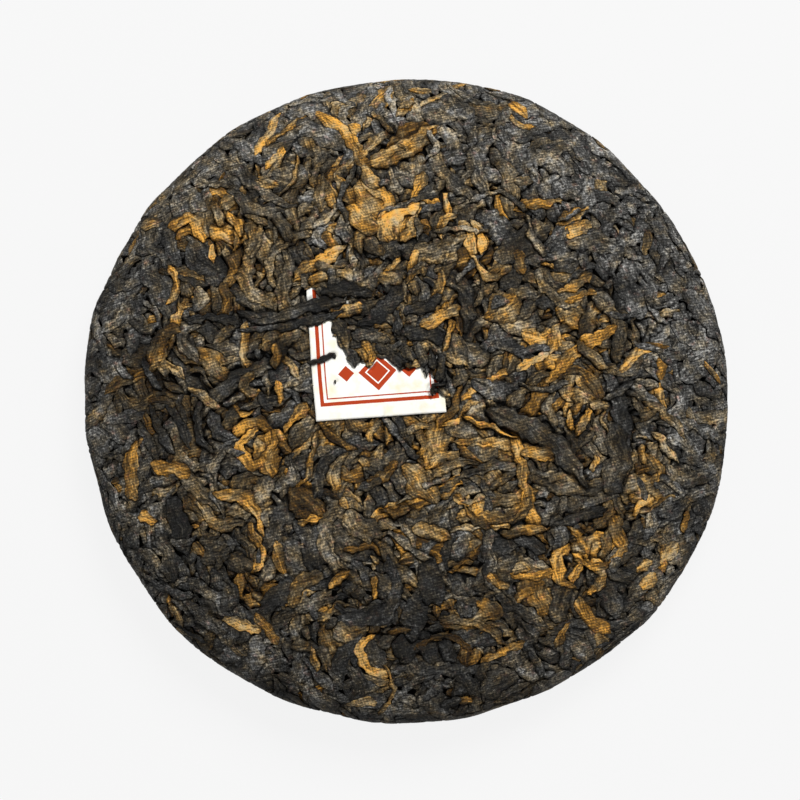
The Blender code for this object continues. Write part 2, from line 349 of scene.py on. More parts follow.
def stations(length):
    """How many stations a line of this length has."""
    return max(FEWEST_STATIONS, int(round(length / STATION_STEP)) + 1)


def even_line(points):
    """A smooth line through a few points, with stations at even steps."""
    points = np.asarray(points, float)
    if len(points) > 2:
        points = np.vstack([2 * points[0] - points[1], points, 2 * points[-1] - points[-2]])
        t = np.linspace(0, 1, 12, endpoint=False)[:, None]
        parts = []
        for a, b, c, d in zip(points, points[1:], points[2:], points[3:]):
            bend = (2 * a - 5 * b + 4 * c - d) * t**2 + (3 * b - a - 3 * c + d) * t**3
            parts.append(b + 0.5 * ((c - a) * t + bend))
        points = np.vstack(parts + [points[-2:-1]])
    along = np.concatenate([[0.0], np.cumsum(np.hypot(*np.diff(points, axis=0).T))])
    even = np.linspace(0, along[-1], stations(along[-1]))
    return np.stack([np.interp(even, along, points[:, k]) for k in (0, 1)], 1)


def curled_line(middle, heading, length, curl, twist, hook):
    """A line through middle that turns by curl on its way, wavers by twist, and may end in a hook."""
    count = stations(length)
    t = np.linspace(-0.5, 0.5, count)
    turn = heading + curl * t + twist * np.sin(2 * math.pi * t) + hook * np.clip(t - 0.2, 0, 1) ** 1.5
    steps = np.stack([np.cos(turn), np.sin(turn)], 1) * length / (count - 1)
    line = np.cumsum(steps, axis=0)
    return line - line[count // 2] + middle


def sideways(line):
    """Unit vectors across a line, to its left."""
    ahead = np.gradient(line, axis=0)
    ahead /= np.hypot(*ahead.T)[:, None]
    return np.stack([-ahead[:, 1], ahead[:, 0]], 1)


def half_widths(leaf):
    """The leaf's width to the left and right of its line at each station."""
    t = leaf.share
    blunt = np.where(t < 0, *leaf.blunt)
    ends = np.clip(1 - np.abs(t) ** blunt, 0.01, 1) ** 0.7
    along = np.arange(len(t)) * STATION_STEP / MM
    halves = []
    for phase in (leaf.start, 2.9 * leaf.start + 1.3):
        ragged = sum(size * np.sin(along * pace + turn * phase) for size, pace, turn in OUTLINE_WAVES)
        halves.append(leaf.width / 2 * ends * (1 + ragged))
    return halves


# %% [markdown]
# A map is a grid of small cells. To see whether a leaf shows, its cells are looked up: a cell belongs
# to it when the nearest place on its line is less than half its width away there. A ray cast for
# every leaf would say the same, but far more slowly.

# %% Remember what lies over each spot
CELL = 0.14 * MM
MAP_REACH = 71.0 * MM
TUCK = 0.55 * MM
TUCK_RUN = 0.30 * MM
DEEPEST = 1.3 * MM
# No leaf's edge is farther from its line than this share of its width
WIDEST_HALF = 0.7
SPARE_STATIONS = 3


def between_cells(grid, u, v):
    """A grid's values at these places on the map, read between its cells."""
    x = np.clip((u + MAP_REACH) / CELL - 0.5, 0, len(grid) - 1.001)
    y = np.clip((v + MAP_REACH) / CELL - 0.5, 0, len(grid) - 1.001)
    left, low = x.astype(int), y.astype(int)
    fx, fy = x - left, y - low
    near = grid[low, left] * (1 - fx) + grid[low, left + 1] * fx
    far = grid[low + 1, left] * (1 - fx) + grid[low + 1, left + 1] * fx
    return near * (1 - fy) + far * fy


class Map:
    """One side's map: covered says what can't be seen any more, sunk how deep the next leaf lies."""

    def __init__(self, side):
        self.side = side
        self.count = int(2 * MAP_REACH / CELL)
        self.middles = ((np.arange(self.count) + 0.5) * CELL - MAP_REACH).astype(np.float32)
        self.covered = np.zeros((self.count, self.count), bool)
        self.sunk = np.zeros((self.count, self.count), np.float32)

    def window(self, line, margin):
        """The rows and columns of cells round a line."""
        low = np.clip(((line.min(0) - margin + MAP_REACH) / CELL).astype(int), 0, self.count - 2)
        high = np.clip(((line.max(0) + margin + MAP_REACH) / CELL).astype(int) + 1, 2, self.count)
        return slice(low[1], high[1]), slice(low[0], high[0])

    def outside(self, leaf, rows, columns):
        """How far each cell is outside the leaf's edge (negative inside), and its nearest station."""
        line = leaf.line.astype(np.float32)
        across = sideways(leaf.line).astype(np.float32)
        left, right = half_widths(leaf)
        du = self.middles[columns][None, :, None] - line[:, 0]
        dv = self.middles[rows][:, None, None] - line[:, 1]
        square = du * du + dv * dv
        nearest = square.argmin(-1)
        pick = nearest[..., None]
        square, du, dv = (np.take_along_axis(grid, pick, -1)[..., 0] for grid in (square, du, dv))
        on_left = du * across[nearest, 0] + dv * across[nearest, 1] > 0
        return np.sqrt(square) - np.where(on_left, left[nearest], right[nearest]), nearest

    def look(self, leaf):
        """The share of the leaf that shows, the stations that show, and the cells that it takes."""
        rows, columns = self.window(leaf.line, WIDEST_HALF * leaf.width)
        away, nearest = self.outside(leaf, rows, columns)
        inside = away < 0
        free = inside & ~self.covered[rows, columns]
        return free.sum() / max(inside.sum(), 1), np.unique(nearest[free]), (rows, columns, inside)

    def lay(self, leaf):
        """Cuts off the ends that nobody sees, keeps the rest as a mesh, and covers what is under it."""
        _, seen, _ = self.look(leaf)
        if not len(seen):
            return None
        kept = slice(max(seen[0] - SPARE_STATIONS, 0), seen[-1] + SPARE_STATIONS + 1)
        leaf.line, leaf.share = leaf.line[kept], leaf.share[kept]
        parts = leaf_parts(leaf, self)
        rows, columns = self.window(leaf.line, WIDEST_HALF * leaf.width + abs(leaf.gap) + TUCK_RUN)
        self.cover(rows, columns, self.outside(leaf, rows, columns)[0], leaf.gap)
        return parts

    def cover(self, rows, columns, away, gap, tuck=TUCK):
        """Marks cells as covered, and pushes down what comes next under them and gap beyond."""
        self.covered[rows, columns] |= away < 0
        push = np.clip((gap + TUCK_RUN - away) / TUCK_RUN, 0, 1)
        push = push * push * (3 - 2 * push)
        self.sunk[rows, columns] = np.minimum(self.sunk[rows, columns] + tuck * push, DEEPEST)

    def depth(self, u, v):
        """How deep the next leaf lies at these places."""
        return between_cells(self.sunk, u, v)


# %% [markdown]
# A leaf's mesh is a tube with a ring of vertices at each station: most of them across its top, where
# its edges and folds need them, and one or two underneath, where nobody looks. Each vertex is
# looked up on the map before the leaf itself is laid, so the mesh already bends under whatever lies
# on it. Three numbers go along with it for the material: how light the leaf is, how warm its colour
# is, from charcoal to gold, and how much painted shade darkens a vertex, under other leaves, at its
# edges and in its folds.
#
# Torn edges and crumpled tops come from short waves that shift every vertex a little along the map
# and up. All leaves share them, so that neighbours still fit. Round the ticket they die down, because
# its cut edge is straight.

# %% Make edges ragged, but not round the ticket
TICKET_WIDTH = 21.3 * MM
TICKET_HEIGHT = 24.1 * MM
TICKET_MIDDLE = (-5.1 * MM, 7.7 * MM)
TICKET_TURN = math.radians(4.3)
RAGGED_WAVES = 16
RAGGED_LENGTHS = (1.1 * MM, 6.0 * MM)
RAGGED_SHIFT = 0.20 * MM
RAGGED_RISE = 0.055 * MM
CALM_EDGE = 1.2 * MM

ragged_turns = shape_chance.uniform(0, 2 * math.pi, RAGGED_WAVES)
ragged_waves = 2 * math.pi / shape_chance.uniform(*RAGGED_LENGTHS, RAGGED_WAVES)
ragged_starts = shape_chance.uniform(0, 2 * math.pi, (3, RAGGED_WAVES))


def ticket_outside(u, v):
    """How far places on the face's map are outside the ticket's edge."""
    du, dv = u - TICKET_MIDDLE[0], v - TICKET_MIDDLE[1]
    across = du * math.cos(TICKET_TURN) + dv * math.sin(TICKET_TURN)
    up = -du * math.sin(TICKET_TURN) + dv * math.cos(TICKET_TURN)
    return np.maximum(np.abs(across) - TICKET_WIDTH / 2, np.abs(up) - TICKET_HEIGHT / 2)


def ragged(side, u, v):
    """Shifts along both directions of a map, and upwards."""
    ahead = u[..., None] * np.cos(ragged_turns) + v[..., None] * np.sin(ragged_turns)
    waves = [np.sin(ahead * ragged_waves + start).sum(-1) for start in ragged_starts]
    calm = np.clip(np.abs(ticket_outside(u, v)) / CALM_EDGE, 0, 1) if side == "face" else 1.0
    size = calm * math.sqrt(2 / RAGGED_WAVES)
    return waves[0] * size * RAGGED_SHIFT, waves[1] * size * RAGGED_SHIFT, waves[2] * size * RAGGED_RISE


# %% [markdown]
# Each fold needs a line of vertices at its bottom and one at each shoulder. Where two lines would be
# far apart, further lines go between them. Scraps are too small for folds.

# %% Plan a leaf's vertices and faces
FOLD_SHOULDER = 0.13
WIDEST_STEP = 0.46


def lines_across(leaf):
    """The mesh's lines across the top, from -1 to 1, and how far each lies down in a fold."""
    if not leaf.fine:
        return np.array([-1, -0.75, 0, 0.75, 1.0]), np.zeros(5)
    stops = {-1: 0, -0.9: 0, -0.7: 0, 0.7: 0, 0.9: 0, 1: 0}
    for fold in leaf.folds:
        stops |= {fold - FOLD_SHOULDER: 0.25, fold: 1.0, fold + FOLD_SHOULDER: 0.25}
    places = sorted(stops)
    for low, high in zip(places, places[1:]):
        extra = int((high - low) / WIDEST_STEP)
        for step in range(extra):
            stops[low + (high - low) * (step + 1) / (extra + 1)] = 0
    places = sorted(stops)
    return np.array(places, float), np.array([stops[place] for place in places], float)


def ring_across(leaf):
    """A ring's places across the leaf, how far each lies down in a fold, and which are on top."""
    across, folded = lines_across(leaf)
    below = [0.0] if len(across) % 2 else [0.5, -0.5]
    on_top = np.arange(len(across) + len(below)) < len(across)
    return np.concatenate([across, below]), np.concatenate([folded, np.zeros(len(below))]), on_top


def leaf_faces(count, ring, side):
    """Four-sided faces round a tube of count rings, and across both of its ends."""
    index = np.arange(count * ring).reshape(count, ring)
    turned = np.roll(index, -1, axis=1)
    sides = np.stack([index[:-1], turned[:-1], turned[1:], index[1:]], -1).reshape(-1, 4)
    pairs = np.arange(ring // 2 - 1)
    cap = np.stack([pairs, ring - 1 - pairs, ring - 2 - pairs, pairs + 1], -1)
    faces = np.vstack([sides, cap, (cap + (count - 1) * ring)[:, ::-1]])
    return faces[:, ::-1] if side == "face" else faces


# %% [markdown]
# Now a leaf's own relief: its rounded edges, its folds, and fine wrinkles along it. Painted shade
# follows the same shapes: the leaf is darker under other leaves, along its edges and in its folds. Its
# tone is a little uneven everywhere, with painted shade towards its edges and ends and a painted
# half-shadow on one side. Towards the rim the cloth was pulled tight, so the relief and the painted
# shade of the creases fade out there.

# %% Shape a leaf's top and paint its shade
WRINKLE_HEIGHT = 0.075 * MM
BUMP_HEIGHT = 0.035 * MM
# How much painted shade darkens a leaf's very edges and its folds, and the edge drop that gets the full
# amount
EDGE_CREASE_PAINTED_SHADE, FOLD_PAINTED_SHADE = 0.5, 0.9
EDGE_SHADE_DROP = 0.36 * MM
# How much the tone changes along a leaf, and how much darker one side is as a painted half-shadow
TONE_ALONG, PAINTED_HALF_SHADOW = 0.20, 0.22
# Painted shade that darkens a leaf's tone towards its edges and its ends
EDGE_TONE_PAINTED_SHADE, END_TONE_PAINTED_SHADE = 0.28, 0.22
TIGHT_FROM, TIGHT_TO = 38 * MM, 50 * MM
TIGHT_RELIEF = 0.27


def relief_at(u, v):
    """1 in the middle of the face, less towards the tight rim."""
    share = np.clip((np.hypot(u, v) - TIGHT_FROM) / (TIGHT_TO - TIGHT_FROM), 0, 1)
    return 1 - (1 - TIGHT_RELIEF) * share * share * (3 - 2 * share)


def fold_fade(leaf, along):
    """How folds come and go along the leaf."""
    return 0.45 + 0.55 * np.sin(0.8 * along + 2 * leaf.start)


def leaf_relief(leaf, along, across, folded):
    """How the top rises and falls by wrinkles, bumps, rounded edges and folds."""
    round_off = leaf.drop * np.abs(across) ** 7
    ridges = (4.0 + 0.6 * leaf.start) * across + 0.4 * along
    wrinkle = WRINKLE_HEIGHT * np.sin(ridges + leaf.start) * (1 - across**4)
    bumpy = BUMP_HEIGHT * np.sin(2.1 * along + 3 * leaf.start + 2.0 * across)
    return wrinkle + bumpy - round_off - leaf.fold_depth * folded * fold_fade(leaf, along)


def leaf_painted_shade(leaf, along, across, folded, sunk):
    """How much painted shade each vertex gets: under other leaves, at the leaf's own edges, in its folds.
    """
    own_edge = (np.abs(across) ** 9 + np.abs(leaf.share[:, None]) ** 14) * leaf.drop / EDGE_SHADE_DROP
    painted_shade = np.clip(sunk / TUCK, 0, 1) + EDGE_CREASE_PAINTED_SHADE * own_edge
    return painted_shade + FOLD_PAINTED_SHADE * folded * np.clip(fold_fade(leaf, along), 0, 1)


def leaf_tone(leaf, along, across):
    """How light each vertex is: uneven along, a painted half-shadow across, painted shade at edges and
    ends.
    """
    uneven = 1 + TONE_ALONG * np.sin(0.5 * along + 2 * leaf.start)
    # A painted half-shadow: one side of the leaf darker than the other
    uneven = uneven + PAINTED_HALF_SHADOW * math.sin(5 * leaf.start) * across
    # Painted shade towards the edges and ends of the leaf
    wear_and_painted_shade = EDGE_TONE_PAINTED_SHADE * np.abs(across) ** 3 + END_TONE_PAINTED_SHADE * np.abs(leaf.share[:, None]) ** 8
    return leaf.shade[0] * uneven * (1 - wear_and_painted_shade)


# %% [markdown]
# Everything comes together here: the ring's places across the leaf, its relief, how deep it is pushed
# down by what lies over it, and the shared waves. The underside is plain, one thickness lower.

# %% Turn a leaf into a mesh
TOP_LIFT = 0.26 * MM
WANDER = 0.13
# How much of the push from the leaves above still works at the tight rim
PUSH_AT_RIM = 0.35
# The most painted shade that a vertex can get
DARKEST_PAINTED_SHADE = 1.4


def leaf_parts(leaf, side_map):
    """The leaf's vertices, four-sided faces and what its material and its bake need."""
    left, right = half_widths(leaf)
    across, folded, on_top = ring_across(leaf)
    count, ring = len(leaf.line), len(across)
    along = np.arange(count)[:, None] * STATION_STEP / MM
    a = across + WANDER * np.sin(0.55 * along + leaf.start) * (1 - across**2)
    half = np.where(a > 0, left[:, None], right[:, None])
    at = leaf.line[:, None] + sideways(leaf.line)[:, None] * (half * a)[..., None]
    u, v = at[..., 0], at[..., 1]

    relief = relief_at(u, v)
    uneven = leaf_relief(leaf, along, across, folded)
    shape = np.where(on_top, (uneven + leaf.level + leaf.lean * across) * relief, -leaf.thick)
    dive = leaf.drop * np.abs(leaf.share[:, None]) ** 12 * relief
    sunk = side_map.depth(u, v)
    shift_u, shift_v, rise = ragged(leaf.side, u, v)
    push = sunk * (PUSH_AT_RIM + (1 - PUSH_AT_RIM) * relief)
    lift = TOP_LIFT + shape + rise * relief - dive - push
    u, v = u + shift_u, v + shift_v
    # Painted shade under other leaves, at the edges and in the folds, weaker at the tight rim
    painted_shade = leaf_painted_shade(leaf, along, across, folded, sunk) * relief**0.7
    return {
        "points": place(leaf.side, u, v, lift).reshape(-1, 3),
        "faces": leaf_faces(count, ring, leaf.side),
        "tone": leaf_tone(leaf, along, across).ravel(),
        "warm": np.full(count * ring, leaf.shade[1]),
        "painted_shade": np.clip(painted_shade, 0, DARKEST_PAINTED_SHADE).ravel(),
        "strip": np.stack([along + 0 * across, half / MM * across], -1).reshape(-1, 2),
        "cloth": np.stack([u, v], -1).reshape(-1, 2) / MM,
        "size": (count, ring, leaf.start),
    }


# %% [markdown]
# ## Joining leaves of one kind
#
# A thousand separate objects would be slow, so all leaves of a kind are joined into one mesh from
# arrays. It gets three UV maps: Strip runs along each leaf and carries its fibres, Cloth is the flat
# map that the weave was pressed on, and the third gives each leaf its own patch of a picture, for
# when its colours are baked.
#
# The patches stand like books on shelves, one leaf after another. A leaf is as wide there as it has
# stations, and a shelf is as high as a leaf has vertices round it, so that no patch is stretched.

# %% Give each leaf a patch for baking
BAKE_PIXELS = 1024
BAKE_MARGIN = 1.5
USUAL_RING = 13.0
SHELF_SPARE = 1.02


def shelve(columns):
    """The shelves' length and number, and the shelf and place of each leaf."""
    shelves = max(1, int(math.ceil(math.sqrt(columns.sum() / USUAL_RING))))
    while True:
        room = columns.sum() / shelves * SHELF_SPARE + columns.max()
        spots, shelf, used = [], 0, 0.0
        for wide in columns:
            if used + wide > room:
                shelf, used = shelf + 1, 0.0
            spots.append((shelf, used))
            used += wide
        if shelf < shelves:
            return room, shelf + 1, spots
        shelves += 1


def bake_patches(parts):
    """The corners' places on the bake map."""
    room, shelves, spots = shelve(np.array([part["size"][0] + 3 for part in parts]))
    margin = BAKE_MARGIN / BAKE_PIXELS
    corners = []
    for part, (row, used) in zip(parts, spots):
        count, ring, _ = part["size"]
        faces = part["faces"]
        station, spoke = faces // ring, (faces % ring).astype(float)
        sides = (count - 1) * ring
        wraps = (spoke[:sides].max(1) == ring - 1) & (spoke[:sides].min(1) == 0)
        spoke[:sides][wraps] = np.where(spoke[:sides][wraps] == 0, ring, spoke[:sides][wraps])
        x = station.astype(float) + 1.5
        folded = spoke[sides:] >= ring / 2
        spoke[sides:] = np.where(folded, ring - 1 - spoke[sides:], spoke[sides:])
        x[sides:] += np.where(folded, np.where(station[sides:] == 0, -1.0, 1.0), 0.0)
        u = (used + x) / room
        v = (row + margin * shelves + spoke / ring * (1 - 2 * margin * shelves)) / shelves
        corners.append(np.stack([u, v], -1).reshape(-1, 2))
    return np.vstack(corners)


# %% [markdown]
# The mesh itself is filled in one go, from all leaves' arrays one after another. Blender stores UV
# maps for each corner of a face, so the numbers for each vertex are picked by the corners' vertices.

# %% Join leaves into one piece
def fill_map(mesh, name, values):
    """Adds a UV map with one pair of numbers for each face corner."""
    layer = mesh.uv_layers.new(name=name)
    layer.uv.foreach_set("vector", values.astype(np.float32).ravel())


def join_leaves(name, parts):
    """One mesh object that holds all these leaves."""
    starts = np.cumsum([0] + [len(part["points"]) for part in parts])
    faces = np.vstack([part["faces"] + start for part, start in zip(parts, starts)])
    points = np.vstack([part["points"] for part in parts])
    mesh = bpy.data.meshes.new(name)
    mesh.vertices.add(len(points))
    mesh.vertices.foreach_set("co", points.astype(np.float32).ravel())
    mesh.loops.add(faces.size)
    mesh.loops.foreach_set("vertex_index", faces.astype(np.int32).ravel())
    mesh.polygons.add(len(faces))
    mesh.polygons.foreach_set("loop_start", np.arange(0, faces.size, 4, dtype=np.int32))
    mesh.update(calc_edges=True)
    mesh.validate()
    for label in ("tone", "warm", "painted_shade"):
        values = np.concatenate([part[label] for part in parts])
        mesh.attributes.new(label, "FLOAT", "POINT").data.foreach_set("value", values.astype(np.float32))
    corner = faces.ravel()
    shifted = [part["strip"] + (47.0 * i, 31.0 * part["size"][2]) for i, part in enumerate(parts)]
    fill_map(mesh, "Strip", np.vstack(shifted)[corner])
    fill_map(mesh, "Cloth", np.vstack([part["cloth"] for part in parts])[corner])
    fill_map(mesh, "OFBake", bake_patches(parts))
    mesh.shade_smooth()
    thing = bpy.data.objects.new(name, mesh)
    bpy.context.scene.collection.objects.link(thing)
    print(f"{name}: {len(parts)} leaves, {2 * len(faces)} triangles")
    return thing


# %% [markdown]
# ## Leaves that can be made out
#
# Some leaves catch the eye: golden buds, tan strips, the black twists over the ticket. Each is
# given by its shade, its width in pixels and the pixels it runs through, read off the picture. A
# shade is two numbers, how light and how warm. The first in the list lie on top.

# %% List the leaves over the ticket
COAL, DARK, OLIVE, TAN = (0.20, 0.16), (0.27, 0.30), (0.34, 0.44), (0.42, 0.58)
AMBER, HONEY, GOLD, BRIGHT = (0.49, 0.86), (0.56, 1.02), (0.60, 0.77), (0.77, 0.76)

OVER_TICKET = (
    (COAL, 13, (236, 313), (272, 318), (310, 306), (347, 301)),
    (COAL, 11, (238, 330), (275, 327), (318, 319), (346, 312)),
    (GOLD, 10, (331, 313), (348, 312), (364, 306)),
    (COAL, 15, (400, 283), (390, 304), (374, 318), (352, 326)),
    (GOLD, 12, (419, 326), (440, 318), (461, 306)),
    (AMBER, 7, (452, 318), (449, 338), (443, 352)),
    (AMBER, 10, (364, 340), (369, 352), (370, 364)),
    (OLIVE, 9, (389, 312), (391, 322)),
    (COAL, 16, (398, 334), (422, 333), (448, 341)),
    (DARK, 14, (336, 318), (342, 334), (347, 348)),
    (COAL, 10, (345, 344), (351, 355), (356, 368)),
    (DARK, 12, (350, 334), (372, 337), (392, 342)),
    (COAL, 11, (376, 347), (388, 352), (401, 368)),
    (OLIVE, 11, (404, 346), (411, 362)),
    (COAL, 10, (398, 352), (404, 366)),
    (DARK, 9, (418, 344), (424, 368)),
    (COAL, 10, (430, 348), (433, 370)),
    (DARK, 9, (442, 352), (440, 382)),
    (COAL, 4, (446, 384), (434, 387), (431, 397)),
    (COAL, 6, (308, 364), (322, 360), (333, 354), (336, 359)),
    (COAL, 2.5, (336, 380), (337, 383)),
    (GOLD, 9, (309, 284), (316, 278), (329, 276)),
    (COAL, 16, (318, 292), (345, 290), (372, 292)),
    (DARK, 14, (352, 304), (372, 308), (392, 296)),
    (COAL, 13, (402, 312), (424, 308), (442, 296)),
    (DARK, 12, (404, 322), (418, 316)),
)
print(len(OVER_TICKET), "leaves are listed over the ticket")

# %% [markdown]
# The rest of the face is listed in the same way: mostly golden buds, then the tan and olive strips
# near them, and a few large dark leaves.

# %% List the leaves of the face
SEEN_ON_FACE = (
    (GOLD, 21, (370, 163), (400, 152), (438, 127)),
    (AMBER, 20, (384, 150), (404, 138), (430, 124)),
    (TAN, 9, (361, 160), (374, 141), (396, 127)),
    (GOLD, 12, (365, 164), (368, 179), (384, 184)),
    (BRIGHT, 13, (362, 178), (377, 190), (389, 204), (378, 219)),
    (BRIGHT, 19, (420, 204), (398, 211), (384, 226), (391, 243)),
    (GOLD, 12, (424, 172), (417, 190), (410, 204)),
    (BRIGHT, 14, (415, 212), (412, 228), (400, 240)),
    (AMBER, 13, (340, 174), (344, 190), (356, 202)),
    (GOLD, 20, (345, 204), (360, 220), (382, 230)),
    (GOLD, 34, (350, 188), (370, 204), (388, 220)),
    (AMBER, 30, (414, 200), (402, 222), (394, 242)),
    (OLIVE, 14, (366, 236), (383, 257)),
    (GOLD, 14, (347, 247), (316, 263), (292, 281)),
    (GOLD, 12, (371, 263), (383, 279), (405, 260)),
    (OLIVE, 13, (314, 155), (322, 170)),
    (GOLD, 9, (441, 242), (443, 223), (458, 216)),
    (GOLD, 7, (470, 221), (481, 235), (480, 254)),
    (BRIGHT, 12, (461, 222), (470, 236), (472, 258)),
    (AMBER, 9, (478, 222), (484, 249)),
    (GOLD, 5, (541, 262), (557, 270)),
    (AMBER, 9, (396, 117), (415, 101)),
    (TAN, 8, (408, 91), (433, 94)),
    (AMBER, 9, (347, 124), (360, 133)),
    (OLIVE, 8, (407, 257), (424, 285)),
    (GOLD, 9, (281, 113), (267, 137), (254, 157)),
    (AMBER, 8, (298, 120), (267, 146)),
    (GOLD, 9, (284, 147), (267, 168)),
    (AMBER, 7, (225, 173), (217, 188)),
    (TAN, 8, (256, 182), (278, 186)),
    (AMBER, 12, (168, 228), (192, 219), (204, 242)),
    (TAN, 10, (141, 226), (163, 221)),
    (AMBER, 8, (139, 233), (130, 255)),
    (TAN, 9, (214, 202), (223, 229)),
    (AMBER, 9, (227, 209), (244, 237)),
    (TAN, 10, (261, 227), (248, 258)),
    (AMBER, 7, (211, 244), (215, 265)),
    (GOLD, 6, (225, 245), (226, 260)),
    (TAN, 14, (236, 267), (251, 291), (276, 309)),
    (OLIVE, 14, (276, 212), (291, 242)),
    (AMBER, 8, (168, 265), (177, 284), (168, 306)),
    (AMBER, 9, (277, 342), (275, 369)),
    (TAN, 13, (254, 371), (245, 385), (253, 398)),
    (AMBER, 7, (277, 377), (280, 404)),
    (TAN, 10, (188, 386), (220, 410)),
    (TAN, 8, (164, 359), (186, 380)),
    (AMBER, 10, (307, 402), (296, 416), (284, 433)),
    (HONEY, 11, (257, 427), (240, 446), (250, 466), (267, 460)),
    (AMBER, 9, (276, 442), (291, 456)),
    (HONEY, 15, (150, 465), (172, 470), (191, 474)),
    (AMBER, 8, (109, 480), (119, 483)),
    (AMBER, 11, (516, 249), (524, 276)),
    (AMBER, 9, (557, 294), (596, 274)),
    (AMBER, 8, (566, 300), (599, 290)),
    (AMBER, 6, (561, 306), (561, 324)),
    (GOLD, 12, (560, 324), (551, 357)),
    (BRIGHT, 11, (516, 371), (536, 360), (555, 348)),
    (BRIGHT, 17, (520, 333), (541, 338), (560, 334)),
    (TAN, 10, (574, 341), (611, 370)),
    (AMBER, 9, (621, 372), (640, 351), (669, 347)),
    (AMBER, 8, (663, 356), (659, 381)),
    (AMBER, 7, (706, 361), (720, 384)),
    (TAN, 10, (589, 403), (611, 406)),
    (GOLD, 8, (569, 410), (573, 432)),
    (AMBER, 8, (593, 407), (575, 438)),
    (TAN, 10, (646, 402), (668, 416), (685, 438)),
    (TAN, 10, (652, 430), (677, 462)),
    (AMBER, 7, (641, 446), (645, 465)),
    (AMBER, 12, (520, 452), (551, 454)),
    (GOLD, 8, (389, 424), (388, 446)),
    (AMBER, 10, (402, 417), (420, 432), (424, 460)),
    (GOLD, 9, (427, 470), (441, 457), (462, 457)),
    (GOLD, 8, (434, 426), (461, 421)),
    (TAN, 8, (476, 426), (486, 436)),
    (GOLD, 11, (361, 457), (369, 467)),
    (AMBER, 12, (362, 484), (384, 476), (397, 458)),
    (TAN, 11, (346, 452), (334, 474), (337, 494)),
    (GOLD, 7, (371, 557), (381, 563)),
    (AMBER, 8, (595, 453), (592, 473)),
    (AMBER, 10, (510, 105), (526, 121)),
    (TAN, 9, (591, 137), (604, 151)),
    (AMBER, 13, (513, 209), (538, 205), (563, 202)),
    (GOLD, 13, (556, 226), (575, 214), (591, 206)),
    (GOLD, 13, (564, 235), (580, 228), (593, 222)),
    (TAN, 8, (513, 182), (532, 184)),
    (TAN, 9, (650, 232), (647, 255)),
    (COAL, 20, (186, 556), (180, 530), (170, 498)),
    (COAL, 18, (172, 585), (168, 556), (160, 534)),
    (AMBER, 13, (212, 494), (246, 499), (258, 516), (264, 534)),
    (AMBER, 12, (276, 538), (283, 572)),
    (TAN, 11, (197, 499), (215, 524), (245, 523)),
    (AMBER, 10, (249, 524), (262, 552), (253, 575)),
    (HONEY, 15, (138, 517), (156, 520)),
    (TAN, 9, (181, 511), (195, 521)),
    (AMBER, 8, (192, 543), (206, 556)),
    (GOLD, 12, (222, 619), (243, 624), (262, 632)),
    (AMBER, 11, (256, 613), (278, 644)),
    (TAN, 9, (173, 605), (184, 624)),
    (AMBER, 7, (113, 486), (120, 493)),
    (GOLD, 9, (340, 497), (348, 510)),
    (AMBER, 8, (298, 523), (324, 517)),
    (GOLD, 15, (411, 528), (432, 532), (452, 540)),
    (AMBER, 9, (350, 572), (328, 587)),
    (AMBER, 7, (376, 578), (374, 601)),
    (GOLD, 8, (480, 494), (475, 515)),
    (AMBER, 8, (454, 494), (468, 509)),
    (AMBER, 7, (491, 527), (511, 527)),
    (TAN, 8, (446, 561), (461, 568)),
    (AMBER, 9, (488, 575), (509, 590)),
    (GOLD, 9, (376, 637), (360, 647), (368, 669), (391, 674)),
    (GOLD, 8, (312, 645), (317, 671)),
    (AMBER, 8, (432, 642), (449, 630)),
    (AMBER, 11, (474, 602), (499, 613), (470, 622)),
    (AMBER, 9, (478, 662), (500, 654), (524, 644)),
    (TAN, 10, (376, 692), (409, 673)),
    (TAN, 8, (346, 704), (377, 700)),
    (AMBER, 7, (453, 702), (474, 699)),
    (AMBER, 7, (512, 650), (525, 641)),
    (COAL, 44, (418, 584), (446, 580)),
    (COAL, 46, (402, 612), (428, 618)),
    (COAL, 18, (212, 566), (230, 590), (226, 612)),
    (COAL, 14, (448, 634), (478, 640), (506, 634)),
    (COAL, 10, (553, 524), (580, 516), (608, 508)),
    (DARK, 22, (484, 410), (520, 424), (556, 446), (586, 486)),
    (DARK, 24, (612, 420), (618, 456), (606, 496)),
    (COAL, 9, (150, 405), (158, 430), (172, 455)),
    (COAL, 9, (166, 398), (180, 425), (190, 450)),
    (COAL, 9, (135, 420), (150, 445), (160, 470)),
    (COAL, 8, (200, 400), (196, 430), (210, 455)),
    (COAL, 10, (186, 322), (215, 318), (245, 326)),
    (DARK, 10, (205, 345), (240, 352), (262, 340)),
    (HONEY, 10, (510, 575), (535, 577), (553, 570)),
    (HONEY, 11, (571, 543), (557, 558), (562, 580), (576, 588)),
    (HONEY, 9, (571, 550), (580, 566), (568, 583)),
    (GOLD, 10, (591, 556), (600, 576), (586, 596)),
    (AMBER, 16, (611, 514), (616, 532), (625, 551)),
    (GOLD, 15, (678, 541), (668, 550), (657, 562)),
    (GOLD, 12, (637, 583), (656, 577)),
    (HONEY, 14, (582, 598), (588, 618), (612, 632)),
    (AMBER, 10, (568, 622), (556, 648)),
    (AMBER, 8, (686, 511), (681, 532)),
    (AMBER, 9, (633, 570), (649, 558)),
    (AMBER, 8, (627, 496), (635, 498)),
)
print(len(SEEN_ON_FACE), "leaves are listed on the face")

# %% [markdown]
# A listed leaf gets small differences by chance: its shade, its ends, its fold. Chance also says how
# hard it was pressed: half of the leaves merge with their neighbours, and some leave a gap.

# %% Make a leaf from a list's row
PIXEL = CAKE_ACROSS / DISC_ACROSS
leaf_chance = np.random.default_rng(SHAPE_SEED + 1)

